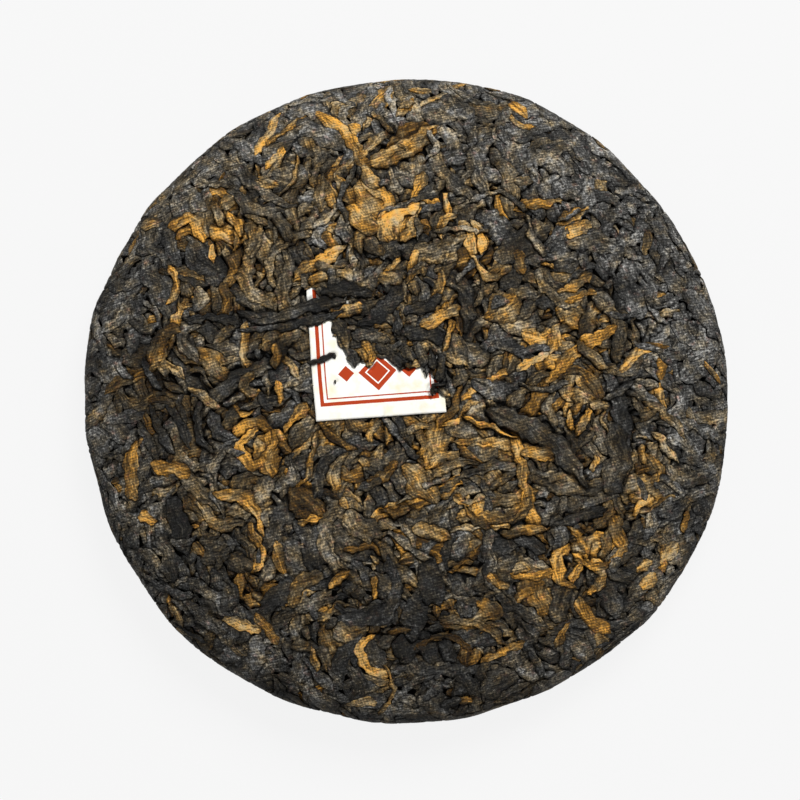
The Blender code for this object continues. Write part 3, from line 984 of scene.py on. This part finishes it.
# How leaves are pressed together: the share of leaves, how far their edges drop, and the gap
PRESSED = (
    (0.50, (0.06, 0.16), (-0.30, -0.18)),
    (0.34, (0.20, 0.36), (-0.12, 0.04)),
    (0.16, (0.36, 0.48), (0.14, 0.45)),
)


def random_press():
    """How far a leaf's edges drop, and the gap that it keeps to what lies below it."""
    _, drop, gap = PRESSED[leaf_chance.choice(3, p=[share for share, _, _ in PRESSED])]
    return {"drop": leaf_chance.uniform(*drop) * MM, "gap": leaf_chance.uniform(*gap) * MM}


def seen_leaf(shade, width, *pixels, **more):
    """A leaf from the lists, on the face's map."""
    tone, warm = shade
    return Leaf(
        line=even_line([on_face(*pixel) for pixel in pixels]),
        width=width * PIXEL,
        shade=(tone * leaf_chance.uniform(0.9, 1.1), warm + leaf_chance.uniform(-0.06, 0.06)),
        blunt=tuple(leaf_chance.uniform(2.2, 6.0, 2)),
        start=leaf_chance.uniform(0, 6.3),
        level=leaf_chance.uniform(-0.04, 0.06) * MM,
        folds=(leaf_chance.uniform(-0.35, 0.35),),
        fold_depth=leaf_chance.uniform(0.05, 0.25) * MM,
        **(random_press() | more),
    )


# %% [markdown]
# ## Filling the rest by chance
#
# The other leaves fall where they may, as they did in the bag. Their shades don't: the cake is
# darker at its left and bottom, browner in its middle and greyer at its right. So a leaf's shade
# also depends on where it lies, partly by the cake's own tones and partly by painted light: lighter
# towards the top, where the lamp is, and darker at the left and bottom. The rim is an even slate
# grey, and so is a wide part of the face at the upper right.

# %% Draw a shade by chance
# The share of leaves, how light they are, and how warm
FACE_SHADES = (
    (0.31, (0.24, 0.32), (0.00, 0.28)),
    (0.25, (0.29, 0.37), (0.20, 0.48)),
    (0.10, (0.26, 0.36), (0.60, 0.95)),
    (0.21, (0.33, 0.41), (0.32, 0.64)),
    (0.08, (0.38, 0.48), (0.52, 0.82)),
    (0.05, (0.43, 0.58), (0.70, 0.96)),
)
RIM_SHADES = (
    (0.62, (0.28, 0.34), (0.00, 0.18)),
    (0.26, (0.31, 0.38), (0.06, 0.28)),
    (0.09, (0.31, 0.39), (0.28, 0.58)),
    (0.03, (0.36, 0.48), (0.60, 0.95)),
)
RIM_FROM = 45.5 * MM
SLATE_TURN = math.radians(42)
SLATE_DEPTH = 11 * MM

# Areas of the face, with the cake's own tones and painted light: the pixel in the middle, the reach
# in pixels, how much lighter, how much warmer
AREAS_OF_TONE_AND_PAINTED_LIGHT = (
    ((165, 385), 54, -0.40, -0.08),
    ((190, 255), 34, -0.28, 0.00),
    ((412, 625), 46, -0.38, -0.06),
    ((225, 580), 46, -0.20, 0.02),
    ((300, 690), 90, -0.12, 0.04),
    ((490, 680), 90, -0.14, 0.08),
    ((530, 275), 30, -0.26, -0.05),
    ((400, 110), 100, 0.22, 0.03),
    ((430, 220), 90, 0.10, 0.05),
    ((630, 180), 90, 0.05, -0.16),
    ((690, 330), 70, 0.06, -0.14),
    ((300, 230), 80, 0.08, 0.04),
    ((430, 500), 100, 0.16, 0.12),
    ((560, 335), 60, 0.16, 0.08),
    ((230, 210), 60, 0.08, 0.14),
    ((600, 590), 60, 0.00, 0.16),
)
tone_and_light_places = [(on_face(*pixel), reach * PIXEL, *change) for pixel, reach, *change in AREAS_OF_TONE_AND_PAINTED_LIGHT]


def random_shade(u, v):
    """Mostly dark, with some olive, brown and gold, changed by the area's own tone and painted light."""
    toward_slate = max(math.cos(math.atan2(v, u) - SLATE_TURN), 0.0)
    rim_from = RIM_FROM - SLATE_DEPTH * toward_slate**4
    choices = RIM_SHADES if math.hypot(u, v) > rim_from else FACE_SHADES
    _, tones, warmths = choices[leaf_chance.choice(len(choices), p=[share for share, _, _ in choices])]
    lighter, warmer = 1.0, 0.0
    # Each area adds the cake's own tone there and painted light
    for (area_u, area_v), reach, light, warmth in tone_and_light_places:
        nearness = math.exp(-((u - area_u) ** 2 + (v - area_v) ** 2) / reach**2)
        lighter += light * nearness
        warmer += warmth * nearness
    return leaf_chance.uniform(*tones) * lighter, max(leaf_chance.uniform(*warmths) + warmer, 0.0)


print(len(tone_and_light_places), "areas change the shades")

# %% [markdown]
# There are five kinds of leaf: rolled strips, broad flat leaves, thin stalks, short pieces, and
# scraps. Within its kind, a leaf's length, width, bend and folds are drawn by chance.

# %% Draw a leaf by chance
@dataclass
class Kind:
    """The spread of lengths and widths of one kind of leaf, in millimetres."""

    lengths: tuple
    widths: tuple
    blunt: tuple
    folds: tuple
    curl: float = 1.0
    fine: bool = True


ROLLED = Kind((8.0, 22.0), (1.6, 2.9), (2.0, 6.0), (1, 2), 1.4)
BROAD = Kind((6.0, 12.0), (3.2, 5.4), (1.8, 4.0), (1, 2), 0.5)
STALK = Kind((5.0, 13.0), (0.8, 1.4), (3.0, 9.0), (0,), 0.8)
SHORT = Kind((4.0, 10.0), (1.3, 2.6), (1.6, 5.0), (0, 1), 1.0)
SCRAP = Kind((1.6, 5.2), (0.8, 2.0), (1.4, 4.0), (0,), 0.4, fine=False)


def random_folds(kind):
    """Where a leaf's folds run, from -1 to 1 across it."""
    count = leaf_chance.choice(kind.folds)
    if count == 0:
        return ()
    if count == 1:
        return (leaf_chance.uniform(-0.3, 0.3),)
    return (leaf_chance.uniform(-0.45, -0.2), leaf_chance.uniform(0.2, 0.45))


def random_leaf(side, middle, kind):
    line = curled_line(
        middle,
        leaf_chance.uniform(0, 2 * math.pi),
        leaf_chance.uniform(*kind.lengths) * MM,
        leaf_chance.normal(0, kind.curl),
        leaf_chance.normal(0, 0.35),
        leaf_chance.choice((0, 0, 6, -6)) * kind.curl,
    )
    return Leaf(
        line=line,
        side=side,
        width=leaf_chance.uniform(*kind.widths) * MM,
        shade=random_shade(*middle),
        blunt=tuple(leaf_chance.uniform(*kind.blunt, 2)),
        start=leaf_chance.uniform(0, 6.3),
        level=leaf_chance.uniform(-0.10, 0.06) * MM,
        lean=leaf_chance.normal(0, 0.04) * MM,
        folds=random_folds(kind),
        fold_depth=leaf_chance.uniform(0.08, 0.34) * MM,
        fine=kind.fine,
        **random_press(),
    )


# %% [markdown]
# To fill a map, a spot that nothing covers yet is drawn, a leaf is laid through it, and it is kept if
# enough of it shows. Rolled strips come first, with broad flat leaves among them, then shorter
# pieces, then scraps for the gaps. The few gaps that stay become the deepest creases.

# %% Scatter leaves over a map
SPOTS_A_TRY = 30
CLEAR_CELLS = 6


def scatter(side_map, within, kinds, tries, least_share, leaves, clear=None):
    """Lays leaves of these kinds through open spots; what is clear stays uncovered."""
    for _ in range(tries):
        rows, columns = np.nonzero(within & ~side_map.covered)
        if not len(rows):
            break
        picks = leaf_chance.integers(0, len(rows), SPOTS_A_TRY)
        for row, column in zip(rows[picks], columns[picks]):
            if side_map.covered[row, column]:
                continue
            middle = (side_map.middles[column], side_map.middles[row])
            leaf = random_leaf(side_map.side, middle, kinds[leaf_chance.integers(len(kinds))])
            share, _, (near_rows, near_columns, inside) = side_map.look(leaf)
            blocked = clear is not None and (clear[near_rows, near_columns] & inside).sum() > CLEAR_CELLS
            if share >= least_share and not blocked:
                leaves.append((leaf.shade, side_map.lay(leaf)))
    open_share = (within & ~side_map.covered).sum() / within.sum()
    print(f"{side_map.side}: {len(leaves)} leaves so far, {100 * open_share:.1f}% still open")


# %% [markdown]
# ## Laying the face
#
# The leaves over the ticket come first. They stay within a ragged line that was read off the
# picture, so that the lower half of the paper stays bare. Then comes the ticket itself, then the
# listed leaves, and then chance fills the face down to the rim.

# %% Lay the leaves over the ticket
BARE_PAPER = (
    (302, 288), (314, 288), (317, 300), (303, 301), (305, 320), (332, 316), (330, 321), (332, 337),
    (343, 348), (344, 353), (352, 365), (363, 360), (368, 369), (373, 365), (377, 356), (391, 360),
    (400, 373), (405, 369), (412, 368), (423, 365), (422, 374), (432, 374), (438, 385), (430, 391),
    (432, 399), (436, 392), (441, 392), (447, 411), (450, 430), (300, 430),
)


def inside_outline(u, v, corners):
    """Whether places lie inside an outline, by counting the edges to their right."""
    inside = np.zeros(np.broadcast(u, v).shape, bool)
    for (u1, v1), (u2, v2) in zip(corners, corners[1:] + corners[:1]):
        spans = (v1 > v) != (v2 > v)
        crossing = u1 + (v - v1) / (v2 - v1 + 1e-12) * (u2 - u1)
        inside ^= spans & (u < crossing)
    return inside


def lay_seen(rows, **more):
    """Lays listed leaves in their order."""
    for shade, width, *pixels in rows:
        parts = face_map.lay(seen_leaf(shade, width, *pixels, **more))
        if parts:
            face_leaves.append((shade, parts))


face_map = Map("face")
face_leaves = []
every_u, every_v = face_map.middles[None, :], face_map.middles[:, None]
ticket_away = ticket_outside(every_u, every_v)
on_ticket = ticket_away < 0
bare = on_ticket & inside_outline(every_u, every_v, [on_face(*pixel) for pixel in BARE_PAPER])
lay_seen(OVER_TICKET, thick=0.55 * MM, drop=0.30 * MM)
scatter(face_map, on_ticket & ~bare, (SHORT, SCRAP), 20, 0.3, face_leaves, bare)
scatter(face_map, on_ticket & ~bare, (SCRAP,), 60, 0.08, face_leaves, bare)
over_ticket = face_map.sunk.copy()
whole = slice(0, face_map.count)
face_map.cover(whole, whole, ticket_away, 0.02 * MM, tuck=0.9 * MM)

# %% [markdown]
# Each round of chance has its kinds of leaf, how often it tries, and how much of a leaf has to show
# for it to stay. The first rounds are strict, so that whole leaves lie on top.

# %% Lay the rest of the face
FACE_REACH = 66.0 * MM
FACE_ROUNDS = (
    ((ROLLED, ROLLED, ROLLED, BROAD, STALK), 9, 0.45),
    ((ROLLED, BROAD, SHORT, STALK), 14, 0.35),
    ((BROAD, ROLLED, SHORT, SHORT), 18, 0.25),
    ((SCRAP,), 40, 0.20),
    ((SHORT, SCRAP), 25, 0.12),
)
face_disc = np.hypot(every_u, every_v) < FACE_REACH
scatter(face_map, face_disc, (SCRAP, STALK), 5, 0.6, face_leaves)
lay_seen(SEEN_ON_FACE)
for kinds, tries, least_share in FACE_ROUNDS:
    scatter(face_map, face_disc, kinds, tries, least_share, face_leaves)

# %% [markdown]
# A piece for each kind of leaf keeps the meshes small enough to handle. The coolest leaves are the
# most, so those round the rim get a piece of their own.

# %% Sort the face's leaves into kinds
DARK_FROM, BROWN_FROM, GOLD_FROM = 0.22, 0.40, 0.66
RIM_LEAVES_FROM = 49.5 * MM


def of_warmth(leaves, low, high):
    return [parts for (_, warm), parts in leaves if low <= warm < high]


def at_rim(parts):
    """Whether a leaf lies far out, on average."""
    return np.hypot(*parts["points"][:, :2].T).mean() > RIM_LEAVES_FROM


coal = of_warmth(face_leaves, -1.0, DARK_FROM)
pieces = [
    join_leaves("rim_leaves", [parts for parts in coal if at_rim(parts)]),
    join_leaves("coal_leaves", [parts for parts in coal if not at_rim(parts)]),
    join_leaves("dark_leaves", of_warmth(face_leaves, DARK_FROM, BROWN_FROM)),
    join_leaves("brown_leaves", of_warmth(face_leaves, BROWN_FROM, GOLD_FROM)),
    join_leaves("golden_buds", of_warmth(face_leaves, GOLD_FROM, 2.0)),
]

# %% [markdown]
# ## Laying the back
#
# The back's map starts out covered wherever the face's leaves reach over the rim, so that the two
# sides close up without a seam.

# %% Lay the back
BACK_REACH = SKIN_LENGTH - FACE_REACH + 3.0 * MM
BACK_ROUNDS = (
    ((ROLLED, BROAD, STALK), 9, 0.45),
    ((ROLLED, BROAD, SHORT), 12, 0.35),
    ((BROAD, SHORT), 12, 0.25),
    ((SCRAP,), 24, 0.20),
)
back_map = Map("back")


def carry_over_the_rim():
    """Copies what the face's leaves cover onto the back's map."""
    reach = np.hypot(every_u, every_v)
    other = np.maximum(SKIN_LENGTH - reach, 0)
    other_u, other_v = every_u / reach * other, every_v / reach * other
    back_map.sunk = np.where(other < MAP_REACH, face_map.depth(other_u, other_v), 0.0)
    back_map.covered = back_map.sunk > 0.9 * TUCK


carry_over_the_rim()
back_disc = np.hypot(every_u, every_v) < BACK_REACH
back_leaves = []
for kinds, tries, least_share in BACK_ROUNDS:
    scatter(back_map, back_disc, kinds, tries, least_share, back_leaves)
pieces += [
    join_leaves("back_dark_leaves", of_warmth(back_leaves, -1.0, BROWN_FROM)),
    join_leaves("back_brown_leaves", of_warmth(back_leaves, BROWN_FROM, 2.0)),
]

# %% [markdown]
# ## The paper ticket
#
# The ticket is a slip of thin paper that took the shape of what it was pressed on. A flat grid is
# given its size, laid on the skin a little under the leaves' tops, pushed down where leaves lie on
# it, creased at its lower edge, and thickened with a Solidify modifier. The grid's own UV map stays,
# so a print can be drawn.

# %% Make the ticket
PAPER_THICKNESS = 0.12 * MM
PAPER_LIFT = -0.12 * MM
PAPER_CELLS = 80
PAPER_PUSH = 0.75 * MM
CRUMPLE_HEIGHT = 0.035 * MM
FOLD_TOP = on_face(386, 396)
FOLD_HEIGHT, FOLD_WIDTH, FOLD_LENGTH = 0.20 * MM, 0.30 * MM, 2.5 * MM


def make_ticket():
    bpy.ops.object.select_all(action="DESELECT")
    bpy.ops.mesh.primitive_grid_add(x_subdivisions=PAPER_CELLS, y_subdivisions=PAPER_CELLS, size=1)
    sheet = bpy.context.object
    sheet.name = "ticket_sheet"
    sheet.data.uv_layers[0].name = "Sheet"
    bpy.ops.transform.resize(value=(TICKET_WIDTH, TICKET_HEIGHT, 1))
    bpy.ops.transform.rotate(value=-TICKET_TURN, orient_axis="Z", center_override=(0, 0, 0))
    bpy.ops.transform.translate(value=(*TICKET_MIDDLE, 0))
    bpy.ops.object.transform_apply(location=True, rotation=True, scale=True)
    flat = np.array([corner.co[:] for corner in sheet.data.vertices])
    u, v = flat[:, 0], flat[:, 1]
    crumple = CRUMPLE_HEIGHT * np.sin(u / (1.7 * MM) + 1.1 * np.sin(v / (2.3 * MM)))
    fold = np.clip((FOLD_TOP[1] - v) / FOLD_LENGTH, 0, 1) * np.exp(-(((u - FOLD_TOP[0]) / FOLD_WIDTH) ** 2))
    pushed = np.minimum(between_cells(over_ticket, u, v), PAPER_PUSH)
    points = place("face", u, v, PAPER_LIFT + crumple + FOLD_HEIGHT * fold - pushed)
    sheet.data.vertices.foreach_set("co", points.astype(np.float32).ravel())
    apply_modifier(sheet, "SOLIDIFY", thickness=PAPER_THICKNESS, offset=-1.0)
    sheet.data.shade_smooth()
    return sheet


ticket = make_ticket()
print("ticket", [round(side / MM, 1) for side in ticket.dimensions], "mm")

# %% [markdown]
# ## Materials
#
# A small helper adds a node, sets its properties and links or fills its inputs, so that a material
# reads from top to bottom like a recipe.

# %% Helpers for materials
def linear(red, green, blue):
    """A colour read off a screen, from 0 to 255, as the shader wants it."""
    shares = np.array([red, green, blue]) / 255
    return (*np.where(shares <= 0.04045, shares / 12.92, ((shares + 0.055) / 1.055) ** 2.4), 1.0)


class Recipe:
    """A material under construction."""

    def __init__(self, name, roughness, specular):
        self.material = bpy.data.materials.new(name)
        self.material.use_nodes = True
        self.tree = self.material.node_tree
        self.shader = self.tree.nodes["Principled BSDF"]
        self.shader.inputs["Roughness"].default_value = roughness
        self.shader.inputs["Specular IOR Level"].default_value = specular

    def feed(self, socket, value):
        if isinstance(value, bpy.types.NodeSocket):
            self.tree.links.new(value, socket)
        else:
            socket.default_value = value

    def add(self, kind, output=0, inputs=None, **settings):
        node = self.tree.nodes.new(kind)
        for name, value in settings.items():
            setattr(node, name, value)
        for name, value in (inputs or {}).items():
            self.feed(node.inputs[name], value)
        return node.outputs[output]

    def math(self, operation, first, second=0.0, third=0.0, clamp=False):
        values = {0: first, 1: second, 2: third}
        return self.add("ShaderNodeMath", operation=operation, use_clamp=clamp, inputs=values)

    def scaled(self, vector, scale):
        return self.add("ShaderNodeVectorMath", operation="MULTIPLY", inputs={0: vector, 1: scale})

    def noise(self, vector, scale, detail=3.0, roughness=0.55):
        values = {"Vector": vector, "Scale": scale, "Detail": detail, "Roughness": roughness}
        return self.add("ShaderNodeTexNoise", inputs=values)

    def ramp(self, factor, stops):
        node = self.tree.nodes.new("ShaderNodeValToRGB")
        points = node.color_ramp.elements
        for _ in stops[2:]:
            points.new(0.5)
        for point, (at, colour) in zip(points, stops):
            point.position, point.color = at, colour
        self.feed(node.inputs["Fac"], factor)
        return node.outputs["Color"]

    def mix(self, share, first, second):
        node = self.tree.nodes.new("ShaderNodeMix")
        node.data_type = "RGBA"
        for index, value in ((0, share), (6, first), (7, second)):
            self.feed(node.inputs[index], value)
        return node.outputs[2]

    def finish(self, colour, height=None, distance=0.1 * MM, strength=1.0):
        self.feed(self.shader.inputs["Base Color"], colour)
        if height is not None:
            values = {"Height": height, "Distance": distance, "Strength": strength}
            bump = self.add("ShaderNodeBump", inputs=values)
            self.feed(self.shader.inputs["Normal"], bump)
        return self.material


# %% [markdown]
# ## The cloth's print
#
# The cloth left two sets of threads that cross, half a millimetre from thread to thread. Two layers
# of noise shift them, one wide and one fine, so that they bend and waver. The print comes and goes,
# because the cloth didn't press equally hard everywhere.

# %% Draw the cloth's print
WEAVE_PITCH = 0.474
WEAVE_THREADS = ((math.radians(104), 0.32), (math.radians(15), 0.16))


def weave(tea, cloth):
    """The cloth's print from 0 to 1: threads in two directions that bend, waver and fade."""
    shifted = cloth
    for scale, size in ((0.04, 1.5), (0.6, 0.06)):
        drift = tea.add("ShaderNodeTexNoise", 1, {"Vector": cloth, "Scale": scale, "Detail": 1.0})
        sizes = {0: drift, 1: (size, size, 0.0), 2: shifted}
        shifted = tea.add("ShaderNodeVectorMath", 0, sizes, operation="MULTIPLY_ADD")
    threads = []
    for turn, height in WEAVE_THREADS:
        direction = (math.cos(turn), math.sin(turn), 0.0)
        across = tea.add("ShaderNodeVectorMath", 1, {0: shifted, 1: direction}, operation="DOT_PRODUCT")
        wave = tea.math("SINE", tea.math("MULTIPLY", across, 2 * math.pi / WEAVE_PITCH))
        threads.append(tea.math("MULTIPLY", wave, height))
    strength = tea.math("MULTIPLY_ADD", tea.noise(cloth, 0.8, 1.0), 1.8, -0.2, clamp=True)
    both = tea.math("MULTIPLY", tea.math("ADD", *threads), strength)
    return tea.math("ADD", both, 0.5)


# %% [markdown]
# ## The tea's material
#
# The tea's colour has two sides that change apart from each other: how warm it is, from cool
# charcoal through olive and brown to gold, and how light. Every stop of the ramp below is equally
# light, and its colour is then scaled.
#
# Along a leaf the lightness changes in fibres: noise that is stretched along the Strip map. The
# rest runs over the flat Cloth map, straight on from leaf to leaf: blotches, fine grain, and the
# cloth's print. Dark leaves are grainier and golden ones show more of their fibres. Painted shade
# makes what lies in a crease darker still, and a little warmer on warm leaves.

# %% Make the tea's material
WARMTHS = (
    (0.00, linear(101, 100, 97)),
    (0.20, linear(105, 99, 87)),
    (0.45, linear(111, 98, 75)),
    (0.70, linear(119, 97, 60)),
    (1.00, linear(132, 95, 38)),
)
# How light every colour of the ramp is
WARMTHS_LIGHT = 0.127
ROSY, ROSY_SHARE = linear(142, 86, 64), 0.35
LIGHTEST, LIGHTEST_ROUND = 0.60, 0.25
SCREEN_POWER = 2.2
# How strongly each pattern lightens and darkens a leaf, how much painted shade darkens a crease, and
# how strongly tints warm and cool it
PATCHES, BLOTCHES, PRINT = 1.6, 1.2, 0.64
IN_PAINTED_SHADE = -0.54
TINTS = 1.7


def added(tea, start, pattern, amount):
    """Start, raised or lowered by how far a pattern is from its middle value."""
    return tea.math("MULTIPLY_ADD", tea.math("SUBTRACT", pattern, 0.5), amount, start)


def tea_material():
    tea = Recipe("pressed_leaf", 0.42, 0.26)
    tone = tea.add("ShaderNodeAttribute", 2, attribute_name="tone")
    warm = tea.add("ShaderNodeAttribute", 2, attribute_name="warm")
    painted_shade = tea.add("ShaderNodeAttribute", 2, attribute_name="painted_shade")
    strip = tea.add("ShaderNodeUVMap", uv_map="Strip")
    cloth = tea.add("ShaderNodeUVMap", uv_map="Cloth")
    fibres = tea.noise(tea.scaled(strip, (0.24, 1.9, 1.0)), 1.0, 5.0, 0.65)
    patches = tea.noise(cloth, 0.13, 1.0)
    blotches = tea.noise(cloth, 0.45, 3.0, 0.6)
    tints = tea.noise(cloth, 0.42, 2.0, 0.6)
    grain = tea.noise(cloth, 1.7, 4.0, 0.85)
    print_of_cloth = weave(tea, cloth)

    graininess = tea.math("MULTIPLY_ADD", warm, -3.0, 5.2)
    streakiness = tea.math("MULTIPLY_ADD", warm, 1.8, 1.8)
    pattern = added(tea, 0.0, fibres, streakiness)
    pattern = added(tea, pattern, patches, PATCHES)
    pattern = added(tea, pattern, blotches, BLOTCHES)
    pattern = added(tea, pattern, grain, graininess)
    pattern = added(tea, pattern, print_of_cloth, PRINT)
    # Painted shade: darker in creases, under other leaves, at leaf edges and in folds
    in_painted_shade = tea.math("MULTIPLY_ADD", painted_shade, IN_PAINTED_SHADE, 1.0)
    patterned = tea.math("MULTIPLY", tone, tea.math("EXPONENT", pattern))
    shade = tea.math("MULTIPLY", patterned, in_painted_shade, clamp=True)
    light = tea.math("POWER", shade, SCREEN_POWER)
    light = tea.math("DIVIDE", tea.math("SMOOTH_MIN", light, LIGHTEST, LIGHTEST_ROUND), WARMTHS_LIGHT)
    warmth = tea.math("MULTIPLY_ADD", pattern, 0.03, added(tea, warm, tints, TINTS))
    # Painted shade also makes the creases of warm leaves warmer
    warmth = tea.math("MULTIPLY_ADD", tea.math("MULTIPLY", painted_shade, warm), 0.30, warmth)
    rosy = tea.math("MULTIPLY_ADD", tea.noise(cloth, 0.7, 1.0), 6.0, -3.7, clamp=True)
    hue = tea.mix(tea.math("MULTIPLY", rosy, ROSY_SHARE), tea.ramp(warmth, WARMTHS), ROSY)
    colour = tea.add("ShaderNodeVectorMath", operation="SCALE", inputs={0: hue, "Scale": light})

    height = tea.math("MULTIPLY_ADD", print_of_cloth, 0.10, fibres)
    height = tea.math("MULTIPLY_ADD", grain, 0.7, height)
    return tea.finish(colour, height, 0.60 * MM, 1.0)


# The core's near-black colour is painted shade for the bottoms of the creases
def core_painted_shade_material():
    packed = Recipe("core_in_painted_shade", 0.8, 0.2)
    spots = packed.add("ShaderNodeTexCoord", 3)
    crumbs = packed.noise(spots, 900.0, 4.0, 0.6)
    colour = packed.ramp(crumbs, ((0.35, linear(14, 13, 12)), (0.7, linear(40, 35, 29))))
    return packed.finish(colour, crumbs, 0.3 * MM, 0.8)


tea = tea_material()
for piece in pieces:
    piece.data.materials.append(tea)
core.data.materials.append(core_painted_shade_material())
print("the tea's material has", len(tea.node_tree.nodes), "nodes")

# %% [markdown]
# ## The ticket's material
#
# The ticket is cream paper with a brick red print. The print is a plain one of this lesson's own:
# a double square frame round a row of diamonds, drawn with distances on the ticket's UV map.

# %% Make the ticket's material
PAPER = linear(255, 254, 247)
BRICK = linear(182, 60, 14)
FRAME_LINES = ((9.4, 0.60), (8.5, 0.22))
DIAMOND_ROW = -4.6
DIAMONDS = ((0.0, 3.1), (-5.1, 1.3), (5.1, 1.3))
DIAMOND_LINE = (1.9, 0.30)


def sheet_place(paper):
    """Places on the ticket in millimetres, from its middle."""
    uv = paper.add("ShaderNodeUVMap", uv_map="Sheet")
    middle = paper.add("ShaderNodeVectorMath", inputs={0: uv, 1: (0.5, 0.5, 0.0)}, operation="SUBTRACT")
    return paper.scaled(middle, (TICKET_WIDTH / MM, TICKET_HEIGHT / MM, 0.0))


def frame_line(paper, x, y, half, line):
    """1 on a square line at this distance from the middle."""
    reach = paper.math("MAXIMUM", paper.math("ABSOLUTE", x), paper.math("ABSOLUTE", y))
    off = paper.math("ABSOLUTE", paper.math("SUBTRACT", reach, half))
    return paper.math("LESS_THAN", off, line / 2)


def diamond_reach(paper, x, y, middle):
    """How far places are from a diamond's middle: across and up taken together."""
    across = paper.math("ABSOLUTE", paper.math("SUBTRACT", x, middle))
    up = paper.math("ABSOLUTE", paper.math("SUBTRACT", y, DIAMOND_ROW))
    return paper.math("ADD", across, up)


def ticket_material():
    paper = Recipe("ticket_paper", 0.75, 0.25)
    spot = sheet_place(paper)
    x = paper.add("ShaderNodeSeparateXYZ", 0, {0: spot})
    y = paper.add("ShaderNodeSeparateXYZ", 1, {0: spot})
    shapes = [frame_line(paper, x, y, half, line) for half, line in FRAME_LINES]
    for middle, half in DIAMONDS:
        shapes.append(paper.math("LESS_THAN", diamond_reach(paper, x, y, middle), half))
    ink = shapes[0]
    for shape in shapes[1:]:
        ink = paper.math("MAXIMUM", ink, shape)
    off_line = paper.math("SUBTRACT", diamond_reach(paper, x, y, 0.0), DIAMOND_LINE[0])
    bare_line = paper.math("LESS_THAN", paper.math("ABSOLUTE", off_line), DIAMOND_LINE[1] / 2)
    ink = paper.math("MULTIPLY", ink, paper.math("SUBTRACT", 1.0, bare_line))
    wear_and_painted_shade = paper.noise(spot, 3.5, 3.0)
    ink = paper.math("MULTIPLY", ink, paper.math("MULTIPLY_ADD", wear_and_painted_shade, 0.6, 0.80, clamp=True))
    stain = paper.noise(spot, 0.35, 3.0)
    ground = paper.ramp(stain, ((0.50, PAPER), (0.80, linear(250, 238, 196))))
    return paper.finish(paper.mix(ink, ground, BRICK), wear_and_painted_shade, 0.05 * MM, 0.4)


ticket.data.materials.append(ticket_material())

# %% [markdown]
# ## Riding on the frame
#
# Each piece is tied to the body that carries it, and the imported solid that it stands for is hidden.

# %% Tie the pieces to the frame
for piece in (core, *pieces):
    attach(piece, "root")
    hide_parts("tea_cake")
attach(ticket, "root")
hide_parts("paper_ticket")
print(len(pieces) + 2, "pieces ride on the frame")

# %% [markdown]
# ## Floor and light
#
# A plain pale floor, and soft light that comes mostly from the top right of the picture: the rim
# there is pale, and the rim at the bottom is dark. The floor glows, as a light table does, so that
# the shadow on it stays faint, but it throws no light on the cake, or the rim would lose its dark.

# %% Set the floor and the light
FLOOR_SIDE = 4.0
FLOOR_GLOW = 0.87
SKY_GLOW = 0.26
bpy.ops.object.select_all(action="DESELECT")
bpy.ops.mesh.primitive_plane_add(size=FLOOR_SIDE, location=(0, 0, 0))
floor = bpy.context.object
floor.name = "floor"
floor_paint = Recipe("floor_paint", 0.9, 0.1)
floor_paint.shader.inputs["Emission Color"].default_value = (1, 1, 1, 1)
floor_paint.shader.inputs["Emission Strength"].default_value = FLOOR_GLOW
floor.data.materials.append(floor_paint.finish(linear(66, 66, 66)))
floor.visible_diffuse = floor.visible_glossy = False


def soft_light(name, azimuth, elevation, distance, size, power):
    """A square lamp that faces the cake. Azimuth 0 is to the right in the picture, 90 is its top."""
    turn, rise = math.radians(azimuth), math.radians(elevation)
    away = Vector((math.cos(turn) * math.cos(rise), math.sin(turn) * math.cos(rise), math.sin(rise)))
    bpy.ops.object.light_add(type="AREA", location=away * distance)
    lamp = bpy.context.object
    lamp.name = name
    lamp.rotation_euler = (-away).to_track_quat("-Z", "Y").to_euler()
    lamp.data.size = size
    lamp.data.energy = power


soft_light("key_light", azimuth=66, elevation=48, distance=0.9, size=0.45, power=8.6)
soft_light("fill_light", azimuth=200, elevation=70, distance=1.1, size=0.9, power=1.0)

world = bpy.data.worlds.new("studio")
world.use_nodes = True
sky = world.node_tree.nodes["Background"]
sky.inputs["Color"].default_value = (1, 1, 1, 1)
sky.inputs["Strength"].default_value = SKY_GLOW
bpy.context.scene.world = world
bpy.context.scene.view_settings.view_transform = "Standard"
